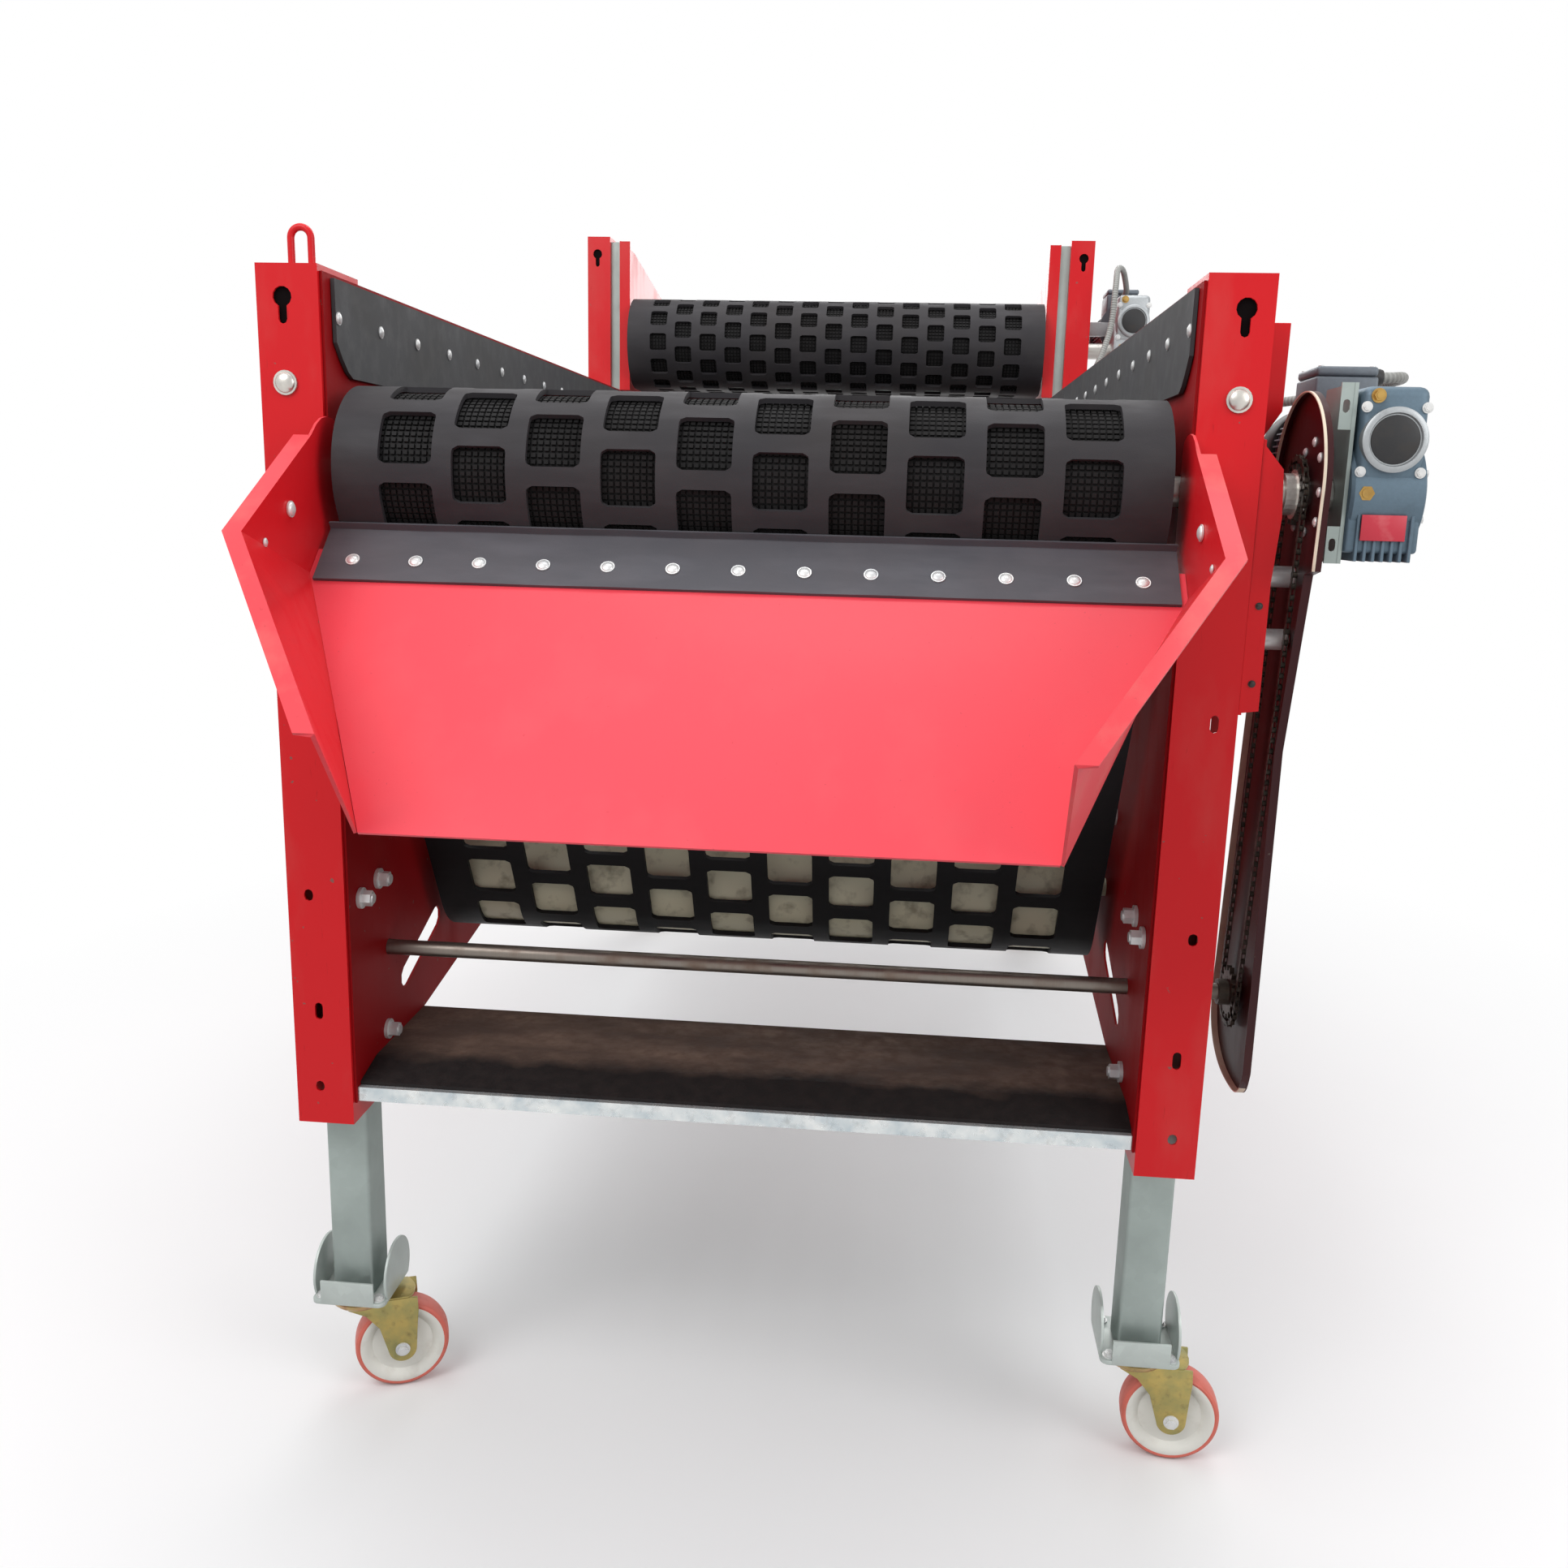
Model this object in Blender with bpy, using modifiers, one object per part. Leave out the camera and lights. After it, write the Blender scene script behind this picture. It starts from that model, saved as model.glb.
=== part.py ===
"""Square-mesh belt grader on castors: a short fine-mesh deck drops onto a longer coarse-mesh deck.

Metres, +Z up. Inside this file X = 0 is the machine's centre line, Y = 0 is the axis of the coarse
discharge drum and Z = 0 is the floor. The chute faces -Y and the drive is on the +X side. One empty
carries every part, and its place puts the origin under the middle of the machine's outer box.
"""
import math

import bmesh
import bpy
from mathutils import Matrix, Vector

# ---- driving dimensions -------------------------------------------------------------------------
GAP = 0.0003                # seat clearance between neighbouring pieces
ORIGIN_SHIFT = (-0.103, -0.873, 0.0)    # from the working frame to the middle of the outer box

DECK_HEIGHT = 1.225         # axis of the coarse belt's upper drums
DECK_END = 1.585            # axis of the coarse tail drum and of the fine drum
FINE_RISE = 0.319           # fine drums above the coarse ones
FINE_LENGTH = 0.4915        # between the fine drums' axes
LOWER_DRUM = (0.300, 0.685)
FINE_HEIGHT = DECK_HEIGHT + FINE_RISE
FINE_END = DECK_END + FINE_LENGTH

TUBE = 0.055                # leg tube, square
TUBE_WALL = 0.003
TUBE_TOP = 0.800
TUBE_SETBACK = 0.057        # leg tube behind its post's front face
TUBE_PLAY = 0.005           # leg tube to its post's walls
STRAP = 0.004               # flat bar that traps the leg tube
STRAP_LAP = 0.001
STRAP_HEIGHT = 0.150

POST_OUTER = 0.550          # half the width over the posts
POST_WALL = 0.003
POST_FACE = TUBE + 2 * (TUBE_PLAY + POST_WALL)      # width of a corner post's front web
POST_DEPTH = TUBE_SETBACK + TUBE + STRAP_LAP
POST_FOOT = 0.428           # height of a corner post's lower end
POST_FRONT = -0.050         # front face of the front posts
FRONT_POST_TOP = DECK_HEIGHT + 0.222
MID_POST_FACE = 0.050
MID_POST_FRONT = DECK_END - 0.050
MID_POST_FOOT = 0.740
MID_POST_TOP = FINE_HEIGHT + 0.220
TAIL_POST_FRONT = FINE_END - 0.0565
TAIL_POST_TOP = FINE_HEIGHT + 0.156
KEYHOLE_DROP = 0.035        # keyhole below a front post's top
WEB_CUT = 0.010             # reach of a cutter past the face it pierces

PLATE = 0.003               # sheet of the side plates, chute and brackets
SIDE_TOP = DECK_HEIGHT + 0.215
SIDE_FRONT = -0.045
SIDE_FOOT_FRONT = 0.455
SIDE_FOOT_REAR = 0.780
UPPER_TOP_FRONT = FINE_HEIGHT + 0.211
UPPER_TOP_REAR = FINE_HEIGHT + 0.146
UPPER_TOP_LEVEL = 0.150     # length of the upper plate's level top edge
UPPER_FLANGE = 0.020
TAKE_UP_SLOT = ((0.193, 0.583), 0.165, 0.030, 20.0)     # middle, length, width, tilt
SPACER_INSET = (0.012, 0.010)       # mid spacer inside its post's front and rear

DRUM_RADIUS = 0.090
DRUM_WALL = 0.004
DRUM_CLEARANCE = 0.0257     # drum end to side plate
DRUM_END = 0.010            # end disc of a drum
DISC_INSET = 0.030          # welded end disc inside the drum's rim
DISC_HOLES = (3, 0.050, 0.018)      # number, place and radius of the holes in it
DRUM_STEPS = 30
BELT = 0.006                # belt thickness
BELT_CLEARANCE = 0.0232     # belt edge to side plate
BELT_SEAT = 0.0007          # belt to drum
SHAFT_RADIUS = 0.0165
STUB_RADIUS = 0.0125
SHAFT_HOLE = SHAFT_RADIUS + 0.002   # free hole round a shaft
BEARING_FLANGE = 0.045      # radius of a bearing's flange
BELT_INNER = DRUM_RADIUS + BELT_SEAT
BELT_OUTER = BELT_INNER + BELT

BEAM_TOP = DECK_HEIGHT + DRUM_RADIUS - 0.010
BEAM = (0.050, 0.055)       # depth and height of the front beam
BEAM_FRONT = 0.140
TAIL_BEAM = (0.060, 0.060)
TAIL_BEAM_FOOT = 0.850
TRAY_WAY = [(0.195, 0.448), (0.195, 0.492), (0.020, 0.492), (-0.033, 0.479), (-0.033, 0.458)]
LIP = (0.008, 0.018)        # depth and height of the tray's lip
LIP_TOP = 0.4745

SKIRT = 0.006
SKIRT_FOOT = DECK_HEIGHT + BELT_OUTER + 0.0083
SKIRT_SETBACK = 0.020       # skirt's front edge behind the side plate's
SKIRT_CORNER = (0.030, 0.035)
FLAP = 0.004
EYE_BAR = 0.004             # radius of the lifting eye's bar
EYE_HALF = 0.0115
EYE_SIDE = 0.020            # lifting eye's middle outside the post's inner edge

# Y, Z where the pan meets the cheeks
CHUTE_BEND = (-BELT_OUTER - 0.0233, DECK_HEIGHT - BELT_OUTER - 0.0133)
CHUTE_TAPER = 0.1408        # how far each side of the pan's nose draws in
CHEEK_TAPER = 0.1478
CHUTE_REACH = (0.235, 0.230)        # from the bend to the pan's nose, forwards and down
CHEEK_KNEE = (CHUTE_BEND[0] - 0.150, CHUTE_BEND[1] + 0.047)
CHEEK_TOP = (CHUTE_BEND[0] + 0.020, CHUTE_BEND[1] + 0.147)
CHEEK_REACH = (0.333, 0.118)        # from the bend to the cheek's nose, forwards and down
CHEEK_CROWN = ((-0.030, 0.117), 0.052)      # middle behind the front edge and above the bend
CHEEK_FLANGE = 0.020
PAN_SEAT = 0.0006           # pan edge to cheek
PAN_RISE = 0.035            # pan above the bend, under the flap
FLAP_RISE = 0.062
FLAP_DROP = 0.012
FLAP_INSET = 0.008

ROD_RADIUS = 0.010
ROD_AXIS = (POST_FRONT + POST_DEPTH + 0.002 + ROD_RADIUS, 0.620)
SPROCKET_RADIUS = 0.033
SPROCKET_TEETH = 15
SPROCKET_HUB = 0.006        # hub wall round the bore
CHAIN = 0.010               # height of a chain link
CHAIN_WIDTH = 0.006
CHAIN_SIDE = POST_OUTER + 0.051     # X of the chain's middle

GUARD_SIDE = POST_OUTER + 0.060     # inner face of the guard's plate
GUARD_SHEET = 0.0015
GUARD_RIM = 0.008
GUARD_LOBE = 0.100
# Y, Z of the guard's edge: brow and waist from the drum's axis, foot from the cross shaft's
GUARD_BROW = [(-0.088, -0.080)]
GUARD_FOOT = [(0.090, -0.020), (0.084, -0.062), (0.058, -0.092), (0.012, -0.108),
              (-0.050, -0.108), (-0.080, -0.096), (-0.093, -0.070)]
GUARD_WAIST = [(-0.016, -0.285), (-0.062, -0.085)]
BRACKET_SHEET = 0.004
SPACER_RADIUS = 0.011
SPACER_PLACE = 0.0073       # Y of the guard's spacers
SPACER_DROPS = (0.090, 0.160)       # below the drum's axis

BOX_WIDTH = 0.076           # gearbox over its side faces
BOX_RISE = 0.057            # worm axis above the wheel axis
BOX_REAR = 0.065            # gearbox's rear face behind the wheel axis
FRONT_BOX_SIDE = POST_OUTER + 0.092         # inner face of the front gearbox
REAR_BOX_SIDE = POST_OUTER + 0.052
MOTOR_RADIUS = 0.050
MOTOR_COWL = 0.053
MOTOR_FLANGE = 0.056
MOTOR_LENGTH = 0.225
STAY_RADIUS = 0.007

FOOT = 0.100                # foot plate, square
FOOT_SHEET = 0.006
EAR_RADIUS = 0.044
EAR_SHEET = 0.004
WHEEL_RADIUS = 0.0625
WHEEL_WIDTH = 0.036
CASTOR_HEIGHT = 2 * WHEEL_RADIUS + 0.025
CASTOR_TRAIL = 0.050
CASTOR_HEADINGS = {"front_left": 22, "front_right": -4, "rear_left": 50, "rear_right": 35}
FORK_SHEET = 0.004
FORK_PLAY = 0.005           # wheel to fork
AXLE_RADIUS = 0.005
FORK_HEAD = 0.036
FORK_NOSE = 0.022           # fork past its axle

POST_INNER = POST_OUTER - POST_FACE
MID_POST_INNER = POST_OUTER - MID_POST_FACE
PLATE_OUTER = POST_INNER - GAP
PLATE_INNER = PLATE_OUTER - PLATE
DRUM_LENGTH = 2 * (PLATE_INNER - DRUM_CLEARANCE)
BELT_WIDTH = 2 * (PLATE_INNER - BELT_CLEARANCE)
CHEEK_OUTER = PLATE_INNER - 3 * GAP
CHEEK_INNER = CHEEK_OUTER - PLATE
CHUTE_NOSE = (CHEEK_INNER - CHUTE_TAPER, CHUTE_BEND[0] - CHUTE_REACH[0],
              CHUTE_BEND[1] - CHUTE_REACH[1])       # half width, Y, Z
CHEEK_NOSE = (CHEEK_INNER - CHEEK_TAPER, CHUTE_BEND[0] - CHEEK_REACH[0],
              CHUTE_BEND[1] - CHEEK_REACH[1])
LEG_SIDE = POST_OUTER - POST_FACE / 2
FRONT_LEG = POST_FRONT + TUBE_SETBACK + TUBE / 2
TAIL_LEG = TAIL_POST_FRONT + TUBE_SETBACK + TUBE / 2

IN_YZ = Matrix(((0, 0, 1), (1, 0, 0), (0, 1, 0))).to_euler()    # outline x, y to Y, Z; depth to X
IN_XZ = Matrix(((1, 0, 0), (0, 0, -1), (0, 1, 0))).to_euler()   # outline x, y to X, Z; depth to -Y
ALONG_X = Matrix.Rotation(math.pi / 2, 3, "Y").to_euler()
ALONG_Y = Matrix.Rotation(-math.pi / 2, 3, "X").to_euler()
UPRIGHT = Matrix.Identity(3).to_euler()


# ---- scene, collections and materials -----------------------------------------------------------
for old in list(bpy.data.objects):
    bpy.data.objects.remove(old, do_unlink=True)

PARTS = bpy.data.collections.new("belt_grader")
TOOLS = bpy.data.collections.new("cutters_and_joins")
bpy.context.scene.collection.children.link(PARTS)
bpy.context.scene.collection.children.link(TOOLS)

CARRIER = bpy.data.objects.new("grader_origin", None)
CARRIER.location = ORIGIN_SHIFT
PARTS.objects.link(CARRIER)

FINISHES = {
    # name: (colour, roughness, metallic)
    "red_paint": ((0.62, 0.03, 0.04), 0.35, 0.0),
    "maroon_paint": ((0.12, 0.01, 0.015), 0.45, 0.0),
    "rubber": ((0.045, 0.045, 0.048), 0.7, 0.0),
    "dusty_board": ((0.09, 0.06, 0.05), 0.8, 0.0),
    "galvanised": ((0.50, 0.53, 0.52), 0.45, 0.8),
    "bright_steel": ((0.62, 0.61, 0.58), 0.3, 1.0),
    "yellow_zinc": ((0.55, 0.44, 0.18), 0.35, 0.9),
    "cast_aluminium": ((0.42, 0.47, 0.50), 0.5, 0.7),
    "motor_grey": ((0.30, 0.33, 0.35), 0.5, 0.3),
    "cream_plastic": ((0.72, 0.70, 0.56), 0.5, 0.0),
    "white_nylon": ((0.86, 0.85, 0.80), 0.4, 0.0),
    "grey_conduit": ((0.45, 0.45, 0.44), 0.55, 0.0),
    "chain_steel": ((0.16, 0.14, 0.12), 0.45, 0.9),
}


def finish(name):
    """The Principled material of that name, made once."""
    if name in bpy.data.materials:
        return bpy.data.materials[name]
    colour, roughness, metallic = FINISHES[name]
    material = bpy.data.materials.new(name)
    material.use_nodes = True
    shader = material.node_tree.nodes["Principled BSDF"]
    shader.inputs["Base Color"].default_value = (*colour, 1.0)
    shader.inputs["Roughness"].default_value = roughness
    shader.inputs["Metallic"].default_value = metallic
    return material


# ---- shapes -------------------------------------------------------------------------------------
def place(name, mesh, location, rotation, material):
    """A part when it has a material, otherwise a cutter or a piece to be joined."""
    thing = bpy.data.objects.new(name, mesh)
    thing.location = location
    thing.rotation_euler = rotation
    thing.parent = CARRIER
    if material:
        thing.data.materials.append(finish(material))
        PARTS.objects.link(thing)
        return thing
    thing.hide_render = True
    thing.display_type = "WIRE"
    TOOLS.objects.link(thing)
    return thing


def mesh_from(name, build):
    """A mesh filled by a function that works on a bmesh."""
    mesh = bpy.data.meshes.new(name)
    work = bmesh.new()
    build(work)
    work.to_mesh(mesh)
    work.free()
    return mesh


def box(name, low, high, material=None, turn=UPRIGHT, at=(0, 0, 0)):
    """A block between two corners, which are given from the place at."""
    size = [b - a for a, b in zip(low, high)]
    middle = [(a + b) / 2 for a, b in zip(low, high)]
    form = Matrix.Translation(middle) @ Matrix.Diagonal((*size, 1))
    mesh = mesh_from(name, lambda work: bmesh.ops.create_cube(work, size=1, matrix=form))
    return place(name, mesh, at, turn, material)


def rod(name, radius, low, high, at, turn, material=None, sides=24):
    """A round bar along the turned Z axis from low to high."""
    form = Matrix.Translation((0, 0, (low + high) / 2))

    def build(work):
        bmesh.ops.create_cone(
            work, cap_ends=True, segments=sides, radius1=radius, radius2=radius,
            depth=high - low, matrix=form)

    mesh = mesh_from(name, build)
    mesh.shade_smooth()
    mesh.set_sharp_from_angle(angle=math.radians(35))
    return place(name, mesh, at, turn, material)


def meshed(curve, name, location, rotation, material):
    """The curve as a closed mesh part, with its caps welded."""
    flat = bpy.data.objects.new(name + "_curve", curve)
    TOOLS.objects.link(flat)
    bpy.context.view_layer.update()
    ready = flat.evaluated_get(bpy.context.evaluated_depsgraph_get())
    mesh = bpy.data.meshes.new_from_object(ready)
    mesh.name = name
    bpy.data.objects.remove(flat, do_unlink=True)
    work = bmesh.new()
    work.from_mesh(mesh)
    bmesh.ops.remove_doubles(work, verts=work.verts, dist=0.00001)
    work.to_mesh(mesh)
    work.free()
    mesh.materials.clear()
    return place(name, mesh, location, rotation, material)


def plate(name, outlines, low, high, turn, material=None, at=(0, 0, 0)):
    """Flat outlines, the first one outside and the rest holes, between two depths."""
    curve = bpy.data.curves.new(name, "CURVE")
    curve.dimensions = "2D"
    curve.fill_mode = "BOTH"
    curve.extrude = (high - low) / 2
    for outline in outlines:
        spline = curve.splines.new("POLY")
        spline.points.add(len(outline) - 1)
        spline.use_cyclic_u = True
        for point, (x, y) in zip(spline.points, outline):
            point.co = (x, y, 0, 1)
    away = turn.to_matrix() @ Vector((0, 0, (low + high) / 2))
    return meshed(curve, name, Vector(at) + away, turn, material)


def wire(name, points, radius, material=None, resolution=2):
    """A round bar or tube along points."""
    curve = bpy.data.curves.new(name, "CURVE")
    curve.dimensions = "3D"
    curve.bevel_depth = radius
    curve.bevel_resolution = resolution
    curve.use_fill_caps = True
    spline = curve.splines.new("POLY")
    spline.points.add(len(points) - 1)
    for point, place_at in zip(spline.points, points):
        point.co = (*place_at, 1)
    thing = meshed(curve, name, (0, 0, 0), UPRIGHT, material)
    thing.data.shade_smooth()
    return thing


def turned(name, profile, at, turn, material=None, steps=32, closed=False):
    """A turned piece. The profile gives radius and height, down the outer side."""
    def build(work):
        corners = [work.verts.new((radius, 0, height)) for radius, height in profile]
        pairs = list(zip(corners, corners[1:]))
        if closed:
            pairs.append((corners[-1], corners[0]))
        for pair in pairs:
            work.edges.new(pair)

    thing = place(name, mesh_from(name, build), at, turn, material)
    screw = thing.modifiers.new("turn", "SCREW")
    screw.steps = steps
    screw.render_steps = steps
    screw.use_merge_vertices = True
    screw.merge_threshold = 0.00005
    screw.use_smooth_shade = True
    return thing


def boolean(thing, tool, operation):
    modifier = thing.modifiers.new(operation.lower(), "BOOLEAN")
    modifier.operation = operation
    modifier.object = tool
    return thing


def cut(thing, *tools):
    for tool in tools:
        boolean(thing, tool, "DIFFERENCE")
    return thing


def join(thing, *tools):
    for tool in tools:
        boolean(thing, tool, "UNION")
    return thing


# ---- outlines -----------------------------------------------------------------------------------
def arc(centre, radius, start, end, steps):
    """Points on a circle, angles in degrees."""
    angles = [math.radians(start + (end - start) * i / max(steps, 1)) for i in range(steps + 1)]
    return [(centre[0] + radius * math.cos(a), centre[1] + radius * math.sin(a)) for a in angles]


def folded(points, thickness):
    """The outline of a sheet folded along points, with its thickness to the left of the way."""
    far = []
    for index, point in enumerate(points):
        before = Vector(points[max(index - 1, 0)])
        here = Vector(point)
        after = Vector(points[min(index + 1, len(points) - 1)])
        ways = [(here - before), (after - here)]
        ways = [way.normalized() for way in ways if way.length > 0]
        mean = sum(ways, Vector((0, 0))).normalized()
        side = Vector((-mean.y, mean.x))
        far.append(tuple(here + side * thickness / mean.dot(ways[0])))
    return list(points) + far[::-1]


def around(centres, radius, steps=18):
    """A band's outline round circles of one radius, given in clockwise order as (y, z)."""
    outline = []
    count = len(centres)
    for index, centre in enumerate(centres):
        before = Vector(centres[index - 1])
        here = Vector(centre)
        after = Vector(centres[(index + 1) % count])
        came = here - before
        goes = after - here
        start = math.degrees(math.atan2(came.x, -came.y))
        end = math.degrees(math.atan2(goes.x, -goes.y))
        while end > start:
            end -= 360
        turns = max(3, round(steps * (start - end) / 180))
        outline += arc(centre, radius, start, end, turns)
    return outline


def shrunk(outline, distance):
    """A clockwise outline moved inwards."""
    count = len(outline)
    inner = []
    for index, point in enumerate(outline):
        before = Vector(outline[index - 1])
        here = Vector(point)
        after = Vector(outline[(index + 1) % count])
        one = (here - before).normalized()
        two = (after - here).normalized()
        mean = (one + two).normalized()
        side = Vector((mean.y, -mean.x))
        inner.append(tuple(here + side * distance / max(mean.dot(one), 0.5)))
    return inner


def slot(centre, length, width, angle=90.0, steps=4):
    """A round-ended slot's outline, its long way turned by angle."""
    way = Vector((math.cos(math.radians(angle)), math.sin(math.radians(angle))))
    reach = way * (length - width) / 2
    head = Vector(centre) + reach
    tail = Vector(centre) - reach
    ends = arc(head, width / 2, angle - 90, angle + 90, steps)
    return ends + arc(tail, width / 2, angle + 90, angle + 270, steps)


def keyhole(centre, radius, throat, drop):
    """A round hole with a narrow slot below it."""
    half = math.degrees(math.asin(throat / 2 / radius))
    head = arc(centre, radius, -90 + half, 270 - half, 11)
    foot = arc((centre[0], centre[1] - drop), throat / 2, 180, 360, 4)
    return head + foot


# ---- frame --------------------------------------------------------------------------------------
def channel(name, side, inner, front, foot, top, material="red_paint"):
    """An upright C section with its web to the front and its open side to the rear."""
    web_out = side * POST_OUTER
    web_in = side * inner
    rear = front + POST_DEPTH
    wall = POST_WALL * (1 if web_out > web_in else -1)
    section = [
        (web_in, rear), (web_in, front), (web_out, front), (web_out, rear),
        (web_out - wall, rear), (web_out - wall, front + POST_WALL),
        (web_in + wall, front + POST_WALL), (web_in + wall, rear)]
    if side < 0:
        section = section[::-1]
    return plate(name, [section], foot, top, UPRIGHT, material)


def cross_hole(name, side, low, high, y, z, radius=SHAFT_HOLE, sides=20):
    """A cutter for a round hole along X, on one side of the machine."""
    ends = sorted((side * low, side * high))
    return rod(name, radius, ends[0], ends[1], (0, y, z), ALONG_X, sides=sides)


def web_hole(name, outline, front):
    """A cutter through a post's front web."""
    return plate(name, [outline], -front - WEB_CUT, -front + WEB_CUT, IN_XZ)


def front_post(side, tag):
    post = channel(f"front_post_{tag}", side, POST_INNER, POST_FRONT, POST_FOOT, FRONT_POST_TOP)
    middle = side * (LEG_SIDE + 0.006)
    hole_marks = [
        ("key", keyhole((middle, FRONT_POST_TOP - KEYHOLE_DROP), 0.011, 0.010, 0.024)),
        ("upper_slot", slot((middle + side * 0.005, 0.974), 0.020, 0.009)),
        ("middle_hole", slot((middle + side * 0.003, 0.724), 0.015, 0.011)),
        ("leg_slot", slot((middle - side * 0.003, 0.576), 0.022, 0.010)),
        ("foot_hole", slot((middle, 0.477), 0.014, 0.011))]
    for mark, outline in hole_marks:
        cut(post, web_hole(f"{mark}_cutter_{tag}", outline, POST_FRONT))
    cut(post, cross_hole(f"shaft_cutter_{tag}", side, POST_INNER - WEB_CUT,
                         POST_OUTER + WEB_CUT, 0, DECK_HEIGHT))
    join(post, leg_strap(f"strap_{tag}", side, POST_FRONT))
    return post


def leg_strap(name, side, front):
    """The flat bar across a post's open side that traps the leg tube."""
    low = front + TUBE_SETBACK + TUBE + GAP
    ends = sorted((side * POST_INNER, side * POST_OUTER))
    return box(name, (ends[0], low, POST_FOOT), (ends[1], low + STRAP, POST_FOOT + STRAP_HEIGHT))


def mid_post(side, tag):
    post = channel(f"mid_post_{tag}", side, MID_POST_INNER, MID_POST_FRONT, MID_POST_FOOT,
                   MID_POST_TOP)
    key = keyhole((side * (POST_OUTER - 0.022), MID_POST_TOP - KEYHOLE_DROP - 0.001), 0.010,
                  0.009, 0.022)
    cut(post, web_hole(f"mid_key_cutter_{tag}", key, MID_POST_FRONT))
    for height in (DECK_HEIGHT, FINE_HEIGHT):
        cut(post, cross_hole(f"mid_cutter_{tag}_{height:.2f}", side, MID_POST_INNER - WEB_CUT,
                             POST_OUTER + WEB_CUT, DECK_END, height))
    return post


def mid_spacer(side, tag):
    """The galvanised bar that packs a mid post off the side plates."""
    ends = sorted((side * (PLATE_OUTER + GAP), side * (MID_POST_INNER - GAP)))
    bar = box(f"mid_spacer_{tag}", (ends[0], MID_POST_FRONT + SPACER_INSET[0], MID_POST_FOOT),
              (ends[1], MID_POST_FRONT + POST_DEPTH - SPACER_INSET[1], UPPER_TOP_FRONT),
              "galvanised")
    for height in (DECK_HEIGHT, FINE_HEIGHT):
        cut(bar, cross_hole(f"spacer_cutter_{tag}_{height:.2f}", side, PLATE_OUTER - WEB_CUT,
                            MID_POST_INNER + WEB_CUT, DECK_END, height))
    return bar


def tail_post(side, tag):
    post = channel(f"tail_post_{tag}", side, POST_INNER, TAIL_POST_FRONT, POST_FOOT,
                   TAIL_POST_TOP)
    cut(post, cross_hole(f"tail_cutter_{tag}", side, POST_INNER - WEB_CUT,
                         POST_INNER + WEB_CUT, FINE_END, FINE_HEIGHT))
    join(post, leg_strap(f"tail_strap_{tag}", side, TAIL_POST_FRONT))
    return post


def side_plate(side, tag):
    """The long web that ties the posts on one side and carries the coarse belt's drums."""
    rear = TAIL_POST_FRONT + POST_DEPTH
    outline = [
        (SIDE_FRONT, SIDE_FOOT_FRONT), (rear, SIDE_FOOT_REAR), (rear, SIDE_TOP),
        (SIDE_FRONT, SIDE_TOP)]
    holes = [
        slot(*TAKE_UP_SLOT), arc((0, DECK_HEIGHT), SHAFT_HOLE, 0, 342, 19),
        arc((DECK_END, DECK_HEIGHT), STUB_RADIUS + 2 * GAP, 0, 342, 19),
        arc(LOWER_DRUM, STUB_RADIUS + 2 * GAP, 0, 342, 19),
        arc(ROD_AXIS, ROD_RADIUS + 2 * GAP, 0, 337.5, 15)]
    ends = sorted((side * PLATE_INNER, side * PLATE_OUTER))
    return plate(f"side_plate_{tag}", [outline] + holes, ends[0], ends[1], IN_YZ, "red_paint")


def upper_plate(side, tag):
    """The fine deck's side plate, with a flange turned in across its front edge."""
    rear = TAIL_POST_FRONT + POST_DEPTH
    front = MID_POST_FRONT - GAP
    outline = [
        (front, SIDE_TOP + GAP), (rear, SIDE_TOP + GAP), (rear, UPPER_TOP_REAR),
        (front + UPPER_TOP_LEVEL, UPPER_TOP_FRONT), (front, UPPER_TOP_FRONT)]
    holes = [
        arc((DECK_END, FINE_HEIGHT), SHAFT_HOLE, 0, 342, 19),
        arc((FINE_END, FINE_HEIGHT), STUB_RADIUS + 2 * GAP, 0, 342, 19)]
    ends = sorted((side * PLATE_INNER, side * PLATE_OUTER))
    sheet = plate(f"upper_plate_{tag}", [outline] + holes, ends[0], ends[1], IN_YZ, "red_paint")
    flange = sorted((side * (PLATE_INNER - UPPER_FLANGE), side * (PLATE_INNER + PLATE / 2)))
    return join(sheet, box(f"upper_flange_{tag}", (flange[0], front, SIDE_TOP + 2 * GAP),
                           (flange[1], front + PLATE, UPPER_TOP_FRONT - GAP)))


def cross_parts():
    """What ties the two sides: two box beams, the lower tray and its galvanised lip."""
    reach = PLATE_INNER - GAP
    box("front_beam", (-reach, BEAM_FRONT, BEAM_TOP - BEAM[1]),
        (reach, BEAM_FRONT + BEAM[0], BEAM_TOP), "red_paint")
    tail = TAIL_POST_FRONT + 0.030
    box("tail_beam", (-reach, tail, TAIL_BEAM_FOOT),
        (reach, tail + TAIL_BEAM[0], TAIL_BEAM_FOOT + TAIL_BEAM[1]), "red_paint")
    plate("cross_tray", [folded(TRAY_WAY, PLATE)], -reach, reach, IN_YZ, "dusty_board")
    seat = TRAY_WAY[-1][0] - GAP
    box("tray_lip", (-reach, seat - LIP[0], LIP_TOP - LIP[1]), (reach, seat, LIP_TOP),
        "galvanised")


def skirt(side, tag):
    """The rubber strip that keeps the crop on the coarse belt."""
    ends = sorted((side * (PLATE_INNER - GAP), side * (PLATE_INNER - GAP - SKIRT)))
    front = SIDE_FRONT + SKIRT_SETBACK
    rear = MID_POST_FRONT - 0.030
    top = SIDE_TOP - 0.004
    outline = [
        (front + SKIRT_CORNER[0], SKIRT_FOOT), (rear, SKIRT_FOOT), (rear, top), (front, top),
        (front, SKIRT_FOOT + SKIRT_CORNER[1])]
    plate(f"skirt_{tag}", [outline], ends[0], ends[1], IN_YZ, "rubber")


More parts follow.
